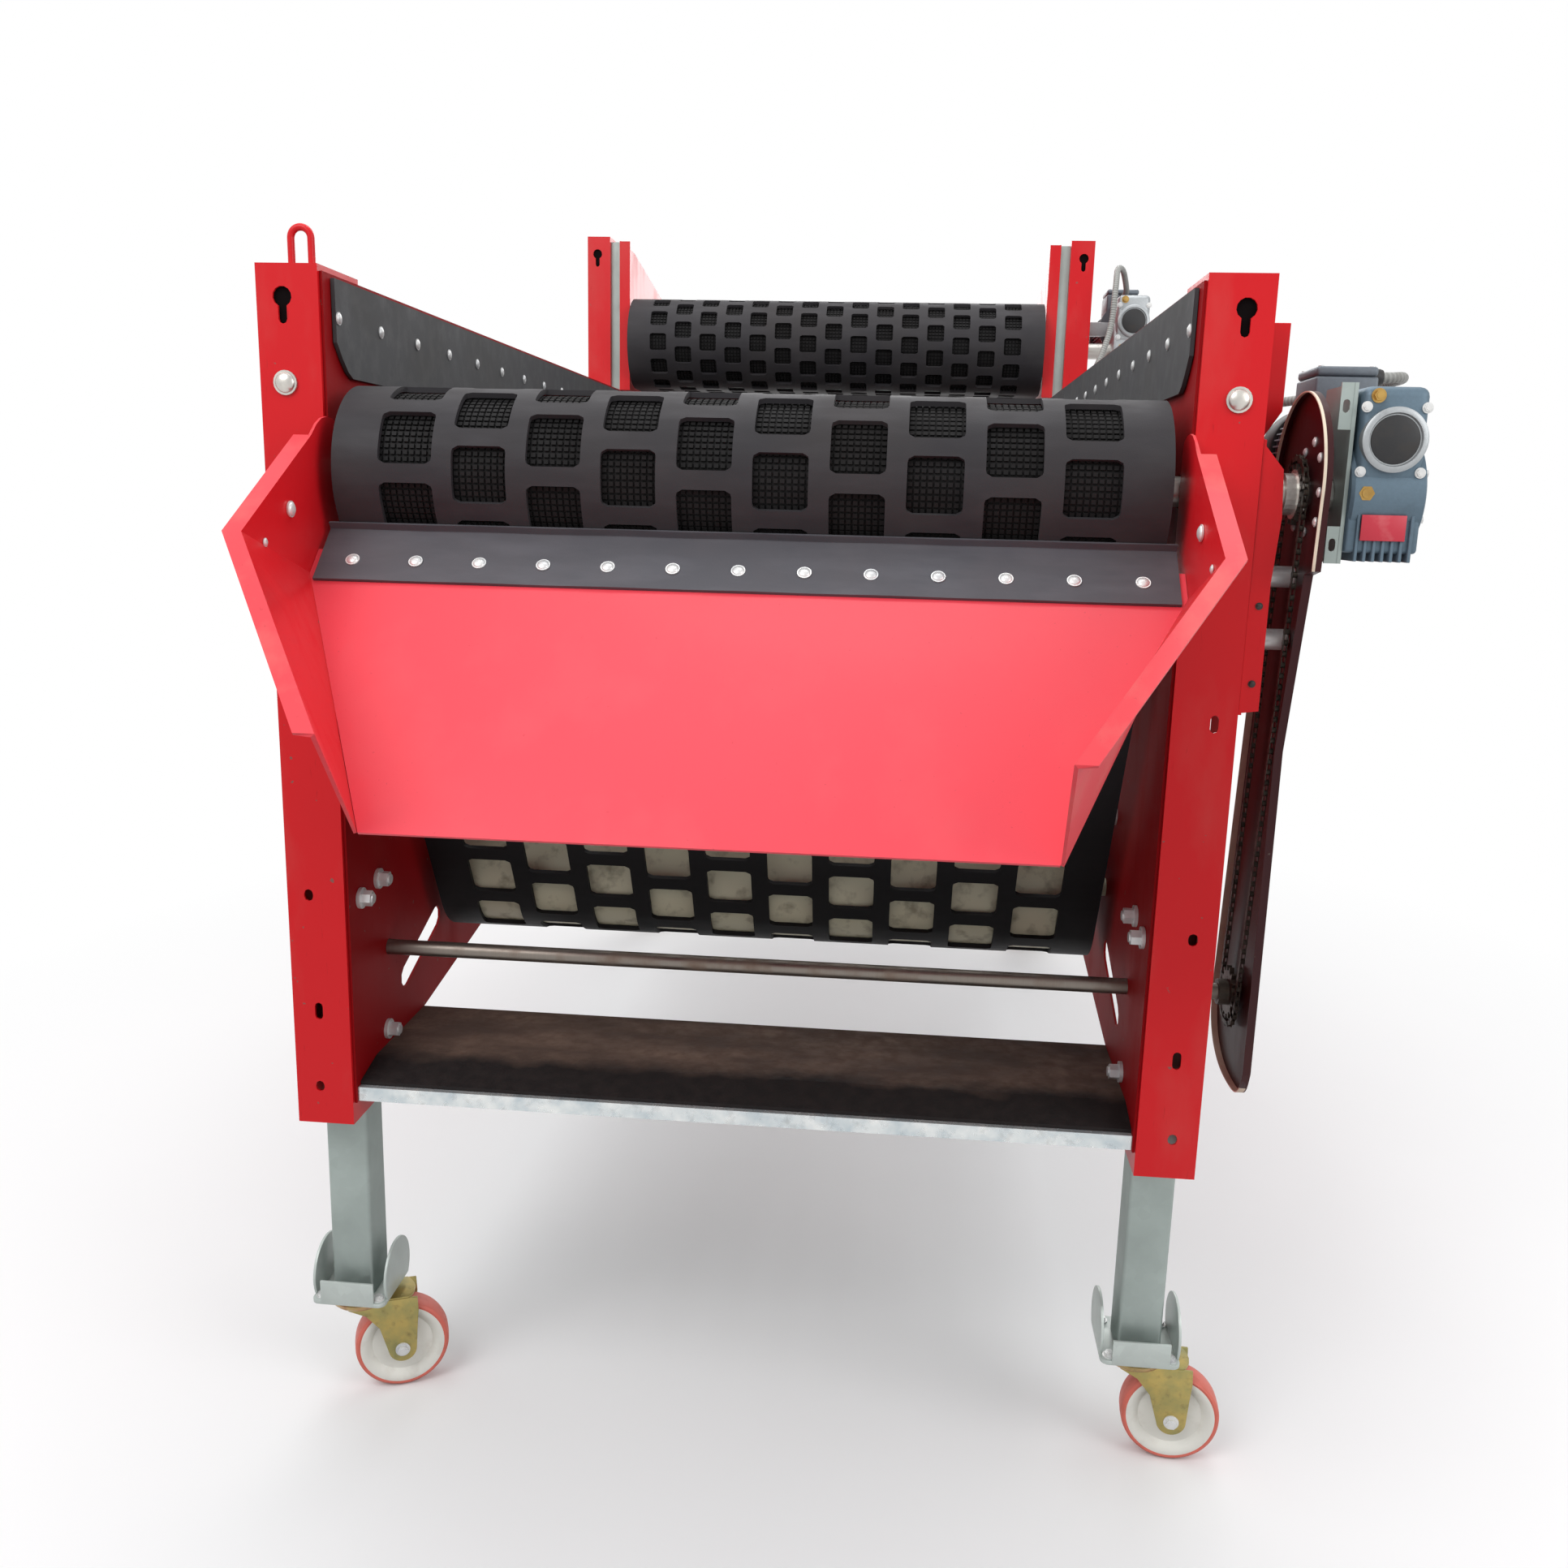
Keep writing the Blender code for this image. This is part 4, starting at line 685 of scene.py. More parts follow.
# ---- repeated shapes ------------------------------------------------------------------------
class Repeat:
    """A Geometry Nodes tree that sets one small shape on every point of a mesh."""

    def __init__(self, name, sizes):
        self.tree = bpy.data.node_groups.new(name, "GeometryNodeTree")
        self.sockets = {}
        shelf = self.tree.interface
        shelf.new_socket("Geometry", in_out="INPUT", socket_type="NodeSocketGeometry")
        for size in sizes:
            item = shelf.new_socket(size, in_out="INPUT", socket_type="NodeSocketFloat")
            self.sockets[size] = item.identifier
        item = shelf.new_socket("Material", in_out="INPUT", socket_type="NodeSocketMaterial")
        self.sockets["Material"] = item.identifier
        shelf.new_socket("Geometry", in_out="OUTPUT", socket_type="NodeSocketGeometry")
        self.inputs = self.tree.nodes.new("NodeGroupInput")

    def add(self, kind, settings=None, values=None, out=0):
        """One output of a new node."""
        made = self.tree.nodes.new(kind)
        for key, value in (settings or {}).items():
            setattr(made, key, value)
        for key, value in (values or {}).items():
            if isinstance(value, bpy.types.NodeSocket):
                self.tree.links.new(value, made.inputs[key])
            else:
                made.inputs[key].default_value = value
        return made.outputs[out]

    def size(self, name):
        """One of the tree's named inputs."""
        return self.inputs.outputs[name]

    def triple(self, x, y, z):
        """A vector of three values."""
        return self.add("ShaderNodeCombineXYZ", {}, {"X": x, "Y": y, "Z": z})

    def times(self, one, two):
        """The product of two values."""
        return self.add("ShaderNodeMath", {"operation": "MULTIPLY"}, {0: one, 1: two})

    def cylinder(self, sides, radius, depth, lift):
        """A cylinder whose foot stands at lift."""
        form = self.add("GeometryNodeMeshCylinder", {}, {
            "Vertices": sides, "Radius": radius, "Depth": depth})
        raised = self.add("ShaderNodeMath", {"operation": "MULTIPLY_ADD"}, {
            0: depth, 1: 0.5, 2: lift})
        return self.moved(form, self.triple(0.0, 0.0, raised))

    def moved(self, form, offset, scale=None):
        """A form carried by an offset and scaled."""
        values = {"Geometry": form, "Translation": offset}
        if scale is not None:
            values["Scale"] = scale
        return self.add("GeometryNodeTransform", {}, values)

    def joined(self, *forms):
        """Several forms as one."""
        made = self.tree.nodes.new("GeometryNodeJoinGeometry")
        for form in forms:
            self.tree.links.new(form, made.inputs[0])
        return made.outputs[0]

    def close(self, form):
        """Sets the shape on the points, turned as each point's own turn says."""
        turn = self.add("GeometryNodeInputNamedAttribute", {"data_type": "FLOAT_VECTOR"}, {
            "Name": "turn"})
        turn = self.add("FunctionNodeEulerToRotation", {}, {"Euler": turn})
        set_out = self.add("GeometryNodeInstanceOnPoints", {}, {
            "Points": self.inputs.outputs["Geometry"], "Instance": form, "Rotation": turn})
        real = self.add("GeometryNodeRealizeInstances", {}, {"Geometry": set_out})
        painted = self.add("GeometryNodeSetMaterial", {}, {
            "Geometry": real, "Material": self.inputs.outputs["Material"]})
        end = self.tree.nodes.new("NodeGroupOutput")
        self.tree.links.new(painted, end.inputs[0])
        return self


def hex_bolt_tree():
    """A washer, a six-sided head and the thread's end."""
    tree = Repeat("hex_bolts", ("Radius", "Height"))
    radius, height = tree.size("Radius"), tree.size("Height")
    washer = tree.cylinder(20, tree.times(radius, 1.35), tree.times(height, 0.28), 0.0)
    head = tree.cylinder(6, radius, tree.times(height, 0.85), tree.times(height, 0.2))
    crown = tree.cylinder(16, tree.times(radius, 0.62), tree.times(height, 0.2), height)
    return tree.close(tree.joined(washer, head, crown))


def dome_tree():
    """A flange and a domed head."""
    tree = Repeat("dome_rivets", ("Radius", "Height"))
    radius, height = tree.size("Radius"), tree.size("Height")
    flange = tree.cylinder(20, tree.times(radius, 1.15), tree.times(height, 0.35), 0.0)
    ball = tree.add("GeometryNodeMeshUVSphere", {}, {"Segments": 18, "Rings": 10, "Radius": 1.0})
    dome = tree.moved(ball, tree.triple(0.0, 0.0, tree.times(height, 0.2)),
                      tree.triple(radius, radius, tree.times(height, 0.8)))
    return tree.close(tree.joined(flange, dome))


def stud_tree():
    """A low square stud, for the lagging's grid."""
    tree = Repeat("lagging_studs", ("Width", "Length", "Height"))
    size = tree.triple(tree.size("Width"), tree.size("Length"), tree.size("Height"))
    cube = tree.add("GeometryNodeMeshCube", {}, {"Size": size})
    return tree.close(cube)


def link_tree():
    """One chain link: two waisted side plates and a roller at one end."""
    tree = Repeat("chain_links", ("Pitch", "Plate", "Width"))
    pitch, sheet, width = tree.size("Pitch"), tree.size("Plate"), tree.size("Width")
    forms = []
    for side in (-0.5, 0.5):
        off = tree.times(width, side)
        bar = tree.add("GeometryNodeMeshCube", {}, {
            "Size": tree.triple(pitch, tree.times(pitch, 0.42), sheet)})
        forms.append(tree.moved(bar, tree.triple(0.0, 0.0, off)))
        for end in (-0.5, 0.5):
            eye = tree.add("GeometryNodeMeshCylinder", {}, {
                "Vertices": 10, "Radius": tree.times(pitch, 0.33), "Depth": sheet})
            forms.append(tree.moved(eye, tree.triple(tree.times(pitch, end), 0.0, off)))
    roller = tree.add("GeometryNodeMeshCylinder", {}, {
        "Vertices": 10, "Radius": tree.times(pitch, 0.26), "Depth": tree.times(width, 1.15)})
    forms.append(tree.moved(roller, tree.triple(tree.times(pitch, 0.5), 0.0, 0.0)))
    return tree.close(tree.joined(*forms))


def repeated(name, tree, places, sizes, finish, body, smooth=35.0):
    """Sets the tree's shape on places, each a point and a turn, and keeps the plain mesh."""
    mesh = bpy.data.meshes.new(name + "_points")
    mesh.from_pydata([place for place, _ in places], [], [])
    turns = mesh.attributes.new("turn", "FLOAT_VECTOR", "POINT")
    turns.data.foreach_set("vector", [c for _, turn in places for c in turn])
    points = placed(name + "_points", mesh)
    modifier = points.modifiers.new("repeat", "NODES")
    modifier.node_group = tree.tree
    for size, value in sizes.items():
        modifier[tree.sockets[size]] = float(value)
    modifier[tree.sockets["Material"]] = FINISH[finish]
    bpy.context.view_layer.update()
    ready = points.evaluated_get(bpy.context.evaluated_depsgraph_get())
    result = bpy.data.meshes.new_from_object(ready)
    result.name = name
    bpy.data.objects.remove(points, do_unlink=True)
    return piece(name, result, finish, body, smooth=smooth)


def facing(direction, spin=0.0):
    """The turn that points a shape's Z along a direction."""
    way = Vector(direction).to_track_quat("Z", "Y").to_matrix()
    return (way @ Matrix.Rotation(spin, 3, "Z")).to_euler()


def seat(place, direction, spin=0.0):
    """A point of the working frame and the turn of what sits there."""
    return at(*place), facing(direction, spin)


def heads(name, tree, places, radius, height, finish, body="frame",
          smooth=35.0):
    """Bolt, screw or rivet heads on places."""
    repeated(name, tree, places, {"Radius": radius, "Height": height}, finish, body, smooth)


# ---- perforated belts -----------------------------------------------------------------------
def loop_path(centres):
    """A function from distance round a belt to its middle line's point and outward way.

    The loop's length comes with it. Distance nought is at the foremost point of the first drum,
    going up.
    """
    parts = []
    count = len(centres)
    total = 0.0
    for index, centre in enumerate(centres):
        before = Vector(centres[index - 1])
        here = Vector(centre)
        after = Vector(centres[(index + 1) % count])
        came = (here - before).normalized()
        goes = (after - here).normalized()
        start = math.atan2(came.x, -came.y)
        end = math.atan2(goes.x, -goes.y)
        if index == 0 and start < math.pi:
            start += math.tau
        while end > start:
            end -= math.tau
        while start - end > math.tau:
            end += math.tau
        parts.append(("arc", here, start, end, (start - end) * BELT_MID))
        normal = Vector((-goes.y, goes.x))
        parts.append(("run", here + normal * BELT_MID, goes, normal, (after - here).length))
        total += (start - end) * BELT_MID + (after - here).length
    lead = (parts[0][2] - math.pi) * BELT_MID

    def find(distance):
        left = (distance + lead) % total
        for part in parts:
            if left <= part[4]:
                break
            left -= part[4]
        if part[0] == "arc":
            angle = part[2] - left / BELT_MID
            normal = Vector((math.cos(angle), math.sin(angle)))
            return part[1] + normal * BELT_MID, normal
        return part[1] + part[2] * left, part[3]
    return find, total


def mesh_belt(name, centres, columns, column, rows, first, hole, lines, edge, corner=2):
    """A belt with rounded square holes, every second column half a pitch on.

    first is the distance of the first column's hole centre and hole the half width of a hole as
    a share of a column. lines, edge and corner count in GRID parts of a pitch from a hole's
    centre: the lines of faces across the belt, the hole's edge and the run of its rounded corner.
    """
    find, total = loop_path(centres)
    pitch = total / rows
    lines = sorted({side * line for line in lines for side in (-1, 1)})
    work = bmesh.new()
    layers = {}

    def corner_at(x, step, depth):
        """The vertex at a place across, a line along and a skin, 1 for the outer one."""
        key = (round(x * 100000), step % (GRID * rows), depth)
        if key not in layers:
            point, normal = find(first + step * pitch / GRID)
            rise = BELT / 2 * (1 if depth else -1)
            spot = point + normal * rise
            layers[key] = work.verts.new(at(x, spot.x, spot.y))
        return layers[key]

    def half_width(line):
        """Half the hole's width at a line, with its rounded corners."""
        over = abs(line) - (edge - corner)
        if over <= 0:
            return hole
        ratio = min(over / corner, 1.0)
        return hole - corner / GRID * (1 - math.sqrt(max(1 - ratio * ratio, 0.0)))

    def strip(x0, x1, s0, s1, z0=None, z1=None):
        """Both skins between two lines; z0, z1 are the x pair at the second line."""
        y0, y1 = (x0, x1) if z0 is None else (z0, z1)
        work.faces.new((corner_at(x0, s0, 1), corner_at(x1, s0, 1), corner_at(y1, s1, 1),
                        corner_at(y0, s1, 1)))
        work.faces.new((corner_at(x1, s0, 0), corner_at(x0, s0, 0), corner_at(y0, s1, 0),
                        corner_at(y1, s1, 0)))

    def wall(x0, s0, x1, s1):
        """The belt's thickness along one edge."""
        work.faces.new((corner_at(x0, s0, 0), corner_at(x0, s0, 1), corner_at(x1, s1, 1),
                        corner_at(x1, s1, 0)))

    def cross_bar(left, right, centre, near, far):
        """Both skins of the bar beyond a hole; its near line has the hole's two corners."""
        for depth in (0, 1):
            work.faces.new([corner_at(x, near, depth) for x in (
                left, centre - width, centre + width, right)]
                + [corner_at(x, far, depth) for x in (right, left)])

    width = half_width(edge) * column
    for index in range(columns):
        centre = (index - (columns - 1) / 2) * column
        left, right = centre - column / 2, centre + column / 2
        for row in range(rows):
            base = row * GRID + (GRID // 2 if index % 2 else 0)
            for one, two in zip(lines, lines[1:]):
                s0, s1 = base + one, base + two
                if min(abs(one), abs(two)) > edge:
                    strip(left, right, s0, s1)
                elif abs(one) > edge:
                    cross_bar(left, right, centre, s1, s0)
                elif abs(two) > edge:
                    cross_bar(left, right, centre, s0, s1)
                else:
                    w0, w1 = half_width(one) * column, half_width(two) * column
                    strip(left, centre - w0, s0, s1, left, centre - w1)
                    strip(centre + w0, right, s0, s1, centre + w1, right)
                    wall(centre - w0, s0, centre - w1, s1)
                    wall(centre + w1, s1, centre + w0, s0)
            wall(centre + width, base - edge, centre - width, base - edge)
            wall(centre - width, base + edge, centre + width, base + edge)
    reach = columns * column / 2
    steps = sorted({row * GRID + shift + line for row in range(rows)
                    for shift in (0, GRID // 2) for line in lines})
    steps = [s for s in steps if 0 <= s < GRID * rows]
    for s0, s1 in zip(steps, steps[1:] + [GRID * rows]):
        for x0, x1 in ((-BELT_HALF, -reach), (reach, BELT_HALF)):
            strip(x0, x1, s0, s1)
        wall(-BELT_HALF, s1, -BELT_HALF, s0)
        wall(BELT_HALF, s0, BELT_HALF, s1)
    bmesh.ops.recalc_face_normals(work, faces=work.faces)
    return ended(work, name)


def belts():
    """The coarse and the fine mesh belt."""
    coarse = mesh_belt(
        "coarse_mesh_belt", [(0, DECK), (DECK_END, DECK), LOWER], columns=10, column=0.0823,
        rows=52, first=0.416 * BELT_MID, hole=0.365, lines=(0, 3, 4, 5, 7, 8, 9, 12), edge=9)
    piece("coarse_mesh_belt", coarse, "belt", "frame", ("coarse_belt",))
    fine = mesh_belt(
        "fine_mesh_belt", [(DECK_END, FINE), (FINE_END, FINE)], columns=15, column=0.0549,
        rows=30, first=-0.04 * BELT_MID, hole=0.330, lines=(0, 3, 4, 5, 6, 7, 8, 9, 12), edge=8)
    piece("fine_mesh_belt", fine, "belt", "frame", ("fine_belt",))


# ---- drums and shafts -----------------------------------------------------------------------
def lagged_drum(name, node, y, z, body):
    """A drum core with a grid of low rubber studs."""
    half, edge, bore = DRUM_HALF, 0.002, SHAFT + 0.0002
    core = DRUM - 0.0036
    profile = [(bore, -half), (core - edge, -half), (core, -half + edge), (core, half - edge),
               (core - edge, half), (bore, half)]
    mesh = mesh_of(lathe(profile, (0, y, z), ACROSS, 96, closed=True))
    piece(name + "_core", mesh, "lagging", body, (node,))
    round_count, across, margin = 78, 124, 0.006
    pitch = 2 * (half - margin) / across
    places = []
    for turn in range(round_count):
        angle = math.tau * turn / round_count
        way = Vector((0, math.cos(angle), math.sin(angle)))
        spin = Euler((angle - math.pi / 2, 0, 0))
        for step in range(across + 1):
            x = -half + margin + step * pitch
            places.append((at(x, y, z) + way * (core + 0.0012), spin))
    repeated(name + "_studs", STUDS, places, {
        "Width": pitch * 0.68, "Length": math.tau * core / round_count * 0.66, "Height": 0.0034},
        "lagging", body, smooth=0)


def plain_drum(name, node, y, z, reach, finish, slot, body):
    """A sheet drum on its stub axle, with recessed end discs."""
    axle, edge, recess = 0.0125, 0.001, 0.030
    half = [(0, reach), (axle - edge, reach), (axle, reach - edge), (axle, DRUM_HALF - recess),
            (DRUM - 0.006, DRUM_HALF - recess), (DRUM - 0.004, DRUM_HALF),
            (DRUM - edge, DRUM_HALF), (DRUM, DRUM_HALF - edge)]
    profile = [(radius, -x) for radius, x in half] + half[::-1]
    piece(name, mesh_of(lathe(profile, (0, y, z), ACROSS, 96)), finish, body, (node,))


def bar(name, node, y, z, left, right, radius, finish, body):
    """A turned shaft with chamfered ends."""
    edge = 0.0015
    profile = [(0, left), (radius - edge, left), (radius, left + edge), (radius, right - edge),
               (radius - edge, right), (0, right)]
    piece(name, mesh_of(lathe(profile, (0, y, z), ACROSS, 48)), finish, body, (node,))


def reach_of(node):
    """A node's two ends across the machine."""
    low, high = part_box(node)
    return low.x - HOME.x, high.x - HOME.x


def rolling():
    """Every drum and shaft that turns."""
    lagged_drum("coarse_drum_lagging", "coarse_drum", 0, DECK, "coarse_drum_body")
    lagged_drum("fine_drum_lagging", "fine_drum", DECK_END, FINE, "fine_drum_body")
    plain_drum("lower_return_drum", "lower_drum", *LOWER, 0.505, "cream", "cream_plastic",
               "lower_drum_body")
    plain_drum("coarse_far_drum", "coarse_tail_drum", DECK_END, DECK, 0.535, "galvanised",
               "galvanised", "coarse_tail_body")
    plain_drum("fine_far_drum", "fine_tail_drum", FINE_END, FINE, 0.515, "galvanised",
               "galvanised", "fine_tail_body")
    bar("coarse_drive_shaft", "coarse_shaft", 0, DECK, *reach_of("coarse_shaft"), SHAFT,
        "bright", "coarse_drum_body")
    bar("fine_drive_shaft", "fine_shaft", DECK_END, FINE, *reach_of("fine_shaft"), SHAFT,
        "bright", "fine_drum_body")
    bar("cross_bar", "cross_shaft", *CROSS, *reach_of("cross_shaft"), 0.010, "dull",
        "cross_shaft_body")


# ---- rubber strips --------------------------------------------------------------------------
def wavy(low, high, count, thickness, place, sway):
    """Adds a rubber sheet of rows and columns with a gentle sway across its face."""
    def build(work):
        sheets = []
        for face in (0, 1):
            grid = []
            for i in range(count[0] + 1):
                line = []
                for j in range(count[1] + 1):
                    u, v = i / count[0], j / count[1]
                    x = low[0] + (high[0] - low[0]) * u
                    y = low[1](u) + (high[1](u) - low[1](u)) * v
                    line.append(work.verts.new(place(x, y, thickness * face + sway(u, v))))
                grid.append(line)
            sheets.append(grid)
        bottom, top = sheets
        for i in range(count[0]):
            for j in range(count[1]):
                work.faces.new((bottom[i][j], bottom[i + 1][j], bottom[i + 1][j + 1],
                                bottom[i][j + 1]))
                work.faces.new((top[i][j], top[i][j + 1], top[i + 1][j + 1], top[i + 1][j]))
        rim = [(i, 0) for i in range(count[0])] + [(count[0], j) for j in range(count[1])]
        rim += [(i, count[1]) for i in range(count[0], 0, -1)]
        rim += [(0, j) for j in range(count[1], 0, -1)]
        for (a, b), (c, d) in zip(rim, rim[1:] + rim[:1]):
            work.faces.new((bottom[a][b], top[a][b], top[c][d], bottom[c][d]))
    return build


def skirts():
    """The rubber strips that close the gap between the coarse belt and the side plates."""
    front, rear, top, sheet = -0.025, 1.505, 1.4355, 0.0045
    rivet_front, rivet_pitch = -0.018, 0.125
    for side, tag in SIDES:
        outer = PLATE_IN - 0.0005

        def place(y, z, depth, side=side, outer=outer):
            return at(side * (outer - depth), y, z)

        def foot(u):
            """The lower edge, which sweeps up over the first 40 mm."""
            return 1.3305 + 0.036 * max(0.0, 1 - u * (rear - front) / 0.040) ** 1.4

        def sway(u, v):
            return 0.0002 + 0.0009 * (1 - v) * (1 + math.sin(u * 31.0)) / 2

        mesh = mesh_of(wavy((front, foot), (rear, lambda u: top), (110, 4), sheet, place, sway))
        piece(f"skirt_rubber_{tag}", mesh, "skirt", "frame", (f"skirt_{tag}",))
        places = [seat((side * (outer - sheet - 0.0005), rivet_front + rivet_pitch * i, 1.393),
                       (-side, 0, 0)) for i in range(13)]
        heads(f"skirt_rivets_{tag}", DOMES, places, 0.0062, 0.0032, "zinc")


def flap():
    """The wiper under the coarse drum: a flat strip whose top edge lips up along the belt."""
    bend, foot = Vector((-0.120, 1.115)), Vector((-0.355, 0.885))      # of the chute's pan
    down = (foot - bend).normalized()
    out = Vector((down.y, -down.x))
    lap, flats, curls = 0.012, 8, 6
    half, columns, rivets = 0.4638, 80, 13
    under, over = [], []
    for line, length, lift in ((under, 0.0768, 0.0003), (over, 0.0745, 0.0037)):
        line += [bend - down * (length * i / flats - lap) + out * lift for i in range(flats + 1)]
    for line, radius, start, fall in ((under, 0.0977, 41.0, 6.5), (over, 0.1004, 39.0, 4.5)):
        for i in range(1, curls + 1):
            angle = math.radians(start - fall * i / curls)
            line.append(Vector((-radius * math.cos(angle), DECK - radius * math.sin(angle))))

    def build(work):
        rings = []
        for i in range(columns + 1):
            x = -half + 2 * half * i / columns
            ripple = out * 0.0003 * (1 + math.sin(i / columns * 40.0))
            ring = under + [point + ripple for point in over[::-1]]
            rings.append([work.verts.new(at(x, p.x, p.y)) for p in ring])
        skin(work, rings)

    piece("chute_wiper", mesh_of(build), "flap", "frame", ("chute_flap",))
    spot = bend - down * 0.0165 + out * 0.0040
    places = [seat((0.0710 * (i - rivets // 2), *spot), (0, *out)) for i in range(rivets)]
    heads("wiper_rivets", DOMES, places, 0.0068, 0.0036, "zinc")


# ---- legs and castors -----------------------------------------------------------------------
def rounded_square(half, radius, steps=5):
    """A square round nought with round corners."""
    outline = []
    inner = half - radius
    for sx, sy, start in ((1, 1, 0), (-1, 1, 90), (-1, -1, 180), (1, -1, 270)):
        outline += arc((sx * inner, sy * inner), radius, start, start + 90, steps)
    return outline


def legs():
    """Square tubes on foot plates with round ears, each on its castor."""
    tube_half, tube_wall, sheet, plate_half = 0.0275, 0.003, 0.006, 0.0495
    for tag in ENDS:
        node, body = f"leg_{tag}", f"leg_{tag}_body"
        cx, cy = middle(node).x - HOME.x, middle(node).y - HOME.y
        foot, top = (corner.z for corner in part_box(node))

        def local(x, y, depth, cx=cx, cy=cy):
            return at(cx + x, cy + y, depth)

        outer = rounded_square(tube_half, 0.005)
        inner = rounded_square(tube_half - tube_wall, 0.003)

        def tube(work, outer=outer, inner=inner, local=local, foot=foot, top=top):
            skin(work, [[work.verts.new(local(x, y, z)) for x, y in ring] for ring, z in (
                (outer, foot + sheet), (outer, top), (inner, top), (inner, foot + 0.020))])

        piece(f"leg_tube_{tag}", mesh_of(tube), "galvanised", body, (node,))
        plate = prism(rounded_square(plate_half, 0.010), foot, foot + sheet, local)
        piece(f"foot_plate_{tag}", mesh_of(plate, 0.0008), "clamp", body)
        lip = block((cx - 0.036, cy - 0.0498, foot + 0.001),
                    (cx + 0.036, cy - 0.0460, foot + 0.034))
        piece(f"foot_lip_{tag}", mesh_of(lip, 0.0012), "clamp", body)
        ears = []
        for hand in (-1, 1):
            ear = arc((0.004, 0.026), 0.0438, -32, 212, 28)
            ear += [(-0.030, 0.002), (0.038, 0.002)]
            ends = sorted((cx + hand * 0.0498, cx + hand * 0.0462))

            def side_on(x, y, depth, cy=cy, foot=foot):
                return at(depth, cy + x, foot + y)

            ears.append(prism(ear, ends[0], ends[1], side_on))
        piece(f"foot_ears_{tag}", mesh_of(together(*ears), 0.0007), "clamp", body)
        bolts = [seat((cx + sx * 0.038, cy + sy * 0.038, foot + sheet), UP)
                 for sx in (-1, 1) for sy in (-1, 1)]
        heads(f"foot_bolts_{tag}", HEXES, bolts, 0.0062, 0.0050, "zinc", body)
        castor(tag, cx, cy)


def castor(tag, cx, cy):
    """A wheel with a tread band on a nylon centre, in a pressed fork under a ball race."""
    hub = middle(f"castor_wheel_{tag}")
    centre = (hub.x - HOME.x, hub.y - HOME.y, hub.z)
    ahead = Vector((centre[0] - cx, centre[1] - cy, 0)).normalized()
    across = Vector((-ahead.y, ahead.x, 0))
    wheel, fork = f"wheel_{tag}_body", f"fork_{tag}_body"
    half = 0.018
    tread = [(0.0550, -half + 0.0012), (0.0580, -half + 0.0006), (0.0608, -half + 0.0030),
             (0.0618, -half + 0.0070), (0.0622, 0), (0.0618, half - 0.0070),
             (0.0608, half - 0.0030), (0.0580, half - 0.0006), (0.0550, half - 0.0012)]
    piece(f"castor_tread_{tag}", mesh_of(lathe(tread, centre, across, 72, closed=True)),
          "tread", wheel, (f"castor_wheel_{tag}",))
    face = [(0.0175, half + 0.0020), (0.0200, half - 0.0060), (0.0400, half - 0.0080),
            (0.0460, half - 0.0030), (0.0520, half - 0.0005), (0.0554, half - 0.0010)]
    disc = [(0.0056, -half - 0.0026), (0.0150, -half - 0.0026)]
    disc += [(r, -h) for r, h in face] + [(r, h) for r, h in face[::-1]]
    disc += [(0.0150, half + 0.0026), (0.0056, half + 0.0026)]
    piece(f"castor_centre_{tag}", mesh_of(lathe(disc, centre, across, 72, closed=True)),
          "nylon", wheel)

    def swung(x, y, depth):
        """x along the trail, y up, depth across."""
        spot = ahead * x + across * depth
        return at(cx + spot.x, cy + spot.y, y)

    blades = []
    gap = half + 0.005
    for hand in (-1, 1):
        blade = arc((0.050, 0.0625), 0.0185, 190, 355, 18)
        blade += [(0.0705, 0.095), (0.0725, 0.118), (0.0715, 0.1375), (-0.0185, 0.1375),
                  (-0.0185, 0.130), (0.004, 0.118), (0.021, 0.097)]
        ends = sorted((hand * gap, hand * (gap + 0.004)))
        blades.append(prism(blade, ends[0], ends[1], swung))
    crown = prism(arc((0.030, 0), 0.0395, -40, 40, 6) + arc((0, 0), 0.0262, 90, 270, 12),
                  0.1345, 0.1392, lambda x, y, depth: swung(x, depth, y))
    piece(f"castor_fork_plates_{tag}", mesh_of(together(*blades, crown), 0.0010), "gold", fork,
          (f"castor_fork_{tag}",))
    race = [(0, 0.1325), (0.030, 0.1325), (0.0370, 0.1345), (0.0405, 0.1385), (0.0412, 0.1425),
            (0.0390, 0.1446), (0.0405, 0.1462), (0.0412, 0.1482), (0.0400, 0.1494), (0, 0.1494)]
    piece(f"castor_race_{tag}", mesh_of(lathe(race, (cx, cy, 0), UP, 56)), "copper", fork)
    ends = [(Vector(at(*centre)) + across * hand * (gap + 0.0038), facing(across * hand))
            for hand in (-1, 1)]
    heads(f"castor_axle_bolts_{tag}", HEXES, ends, 0.0072, 0.0058, "zinc", fork)
    pin = [(0, -gap), (0.0048, -gap), (0.0048, gap), (0, gap)]
    piece(f"castor_axle_{tag}", mesh_of(lathe(pin, centre, across, 24)), "zinc", fork)


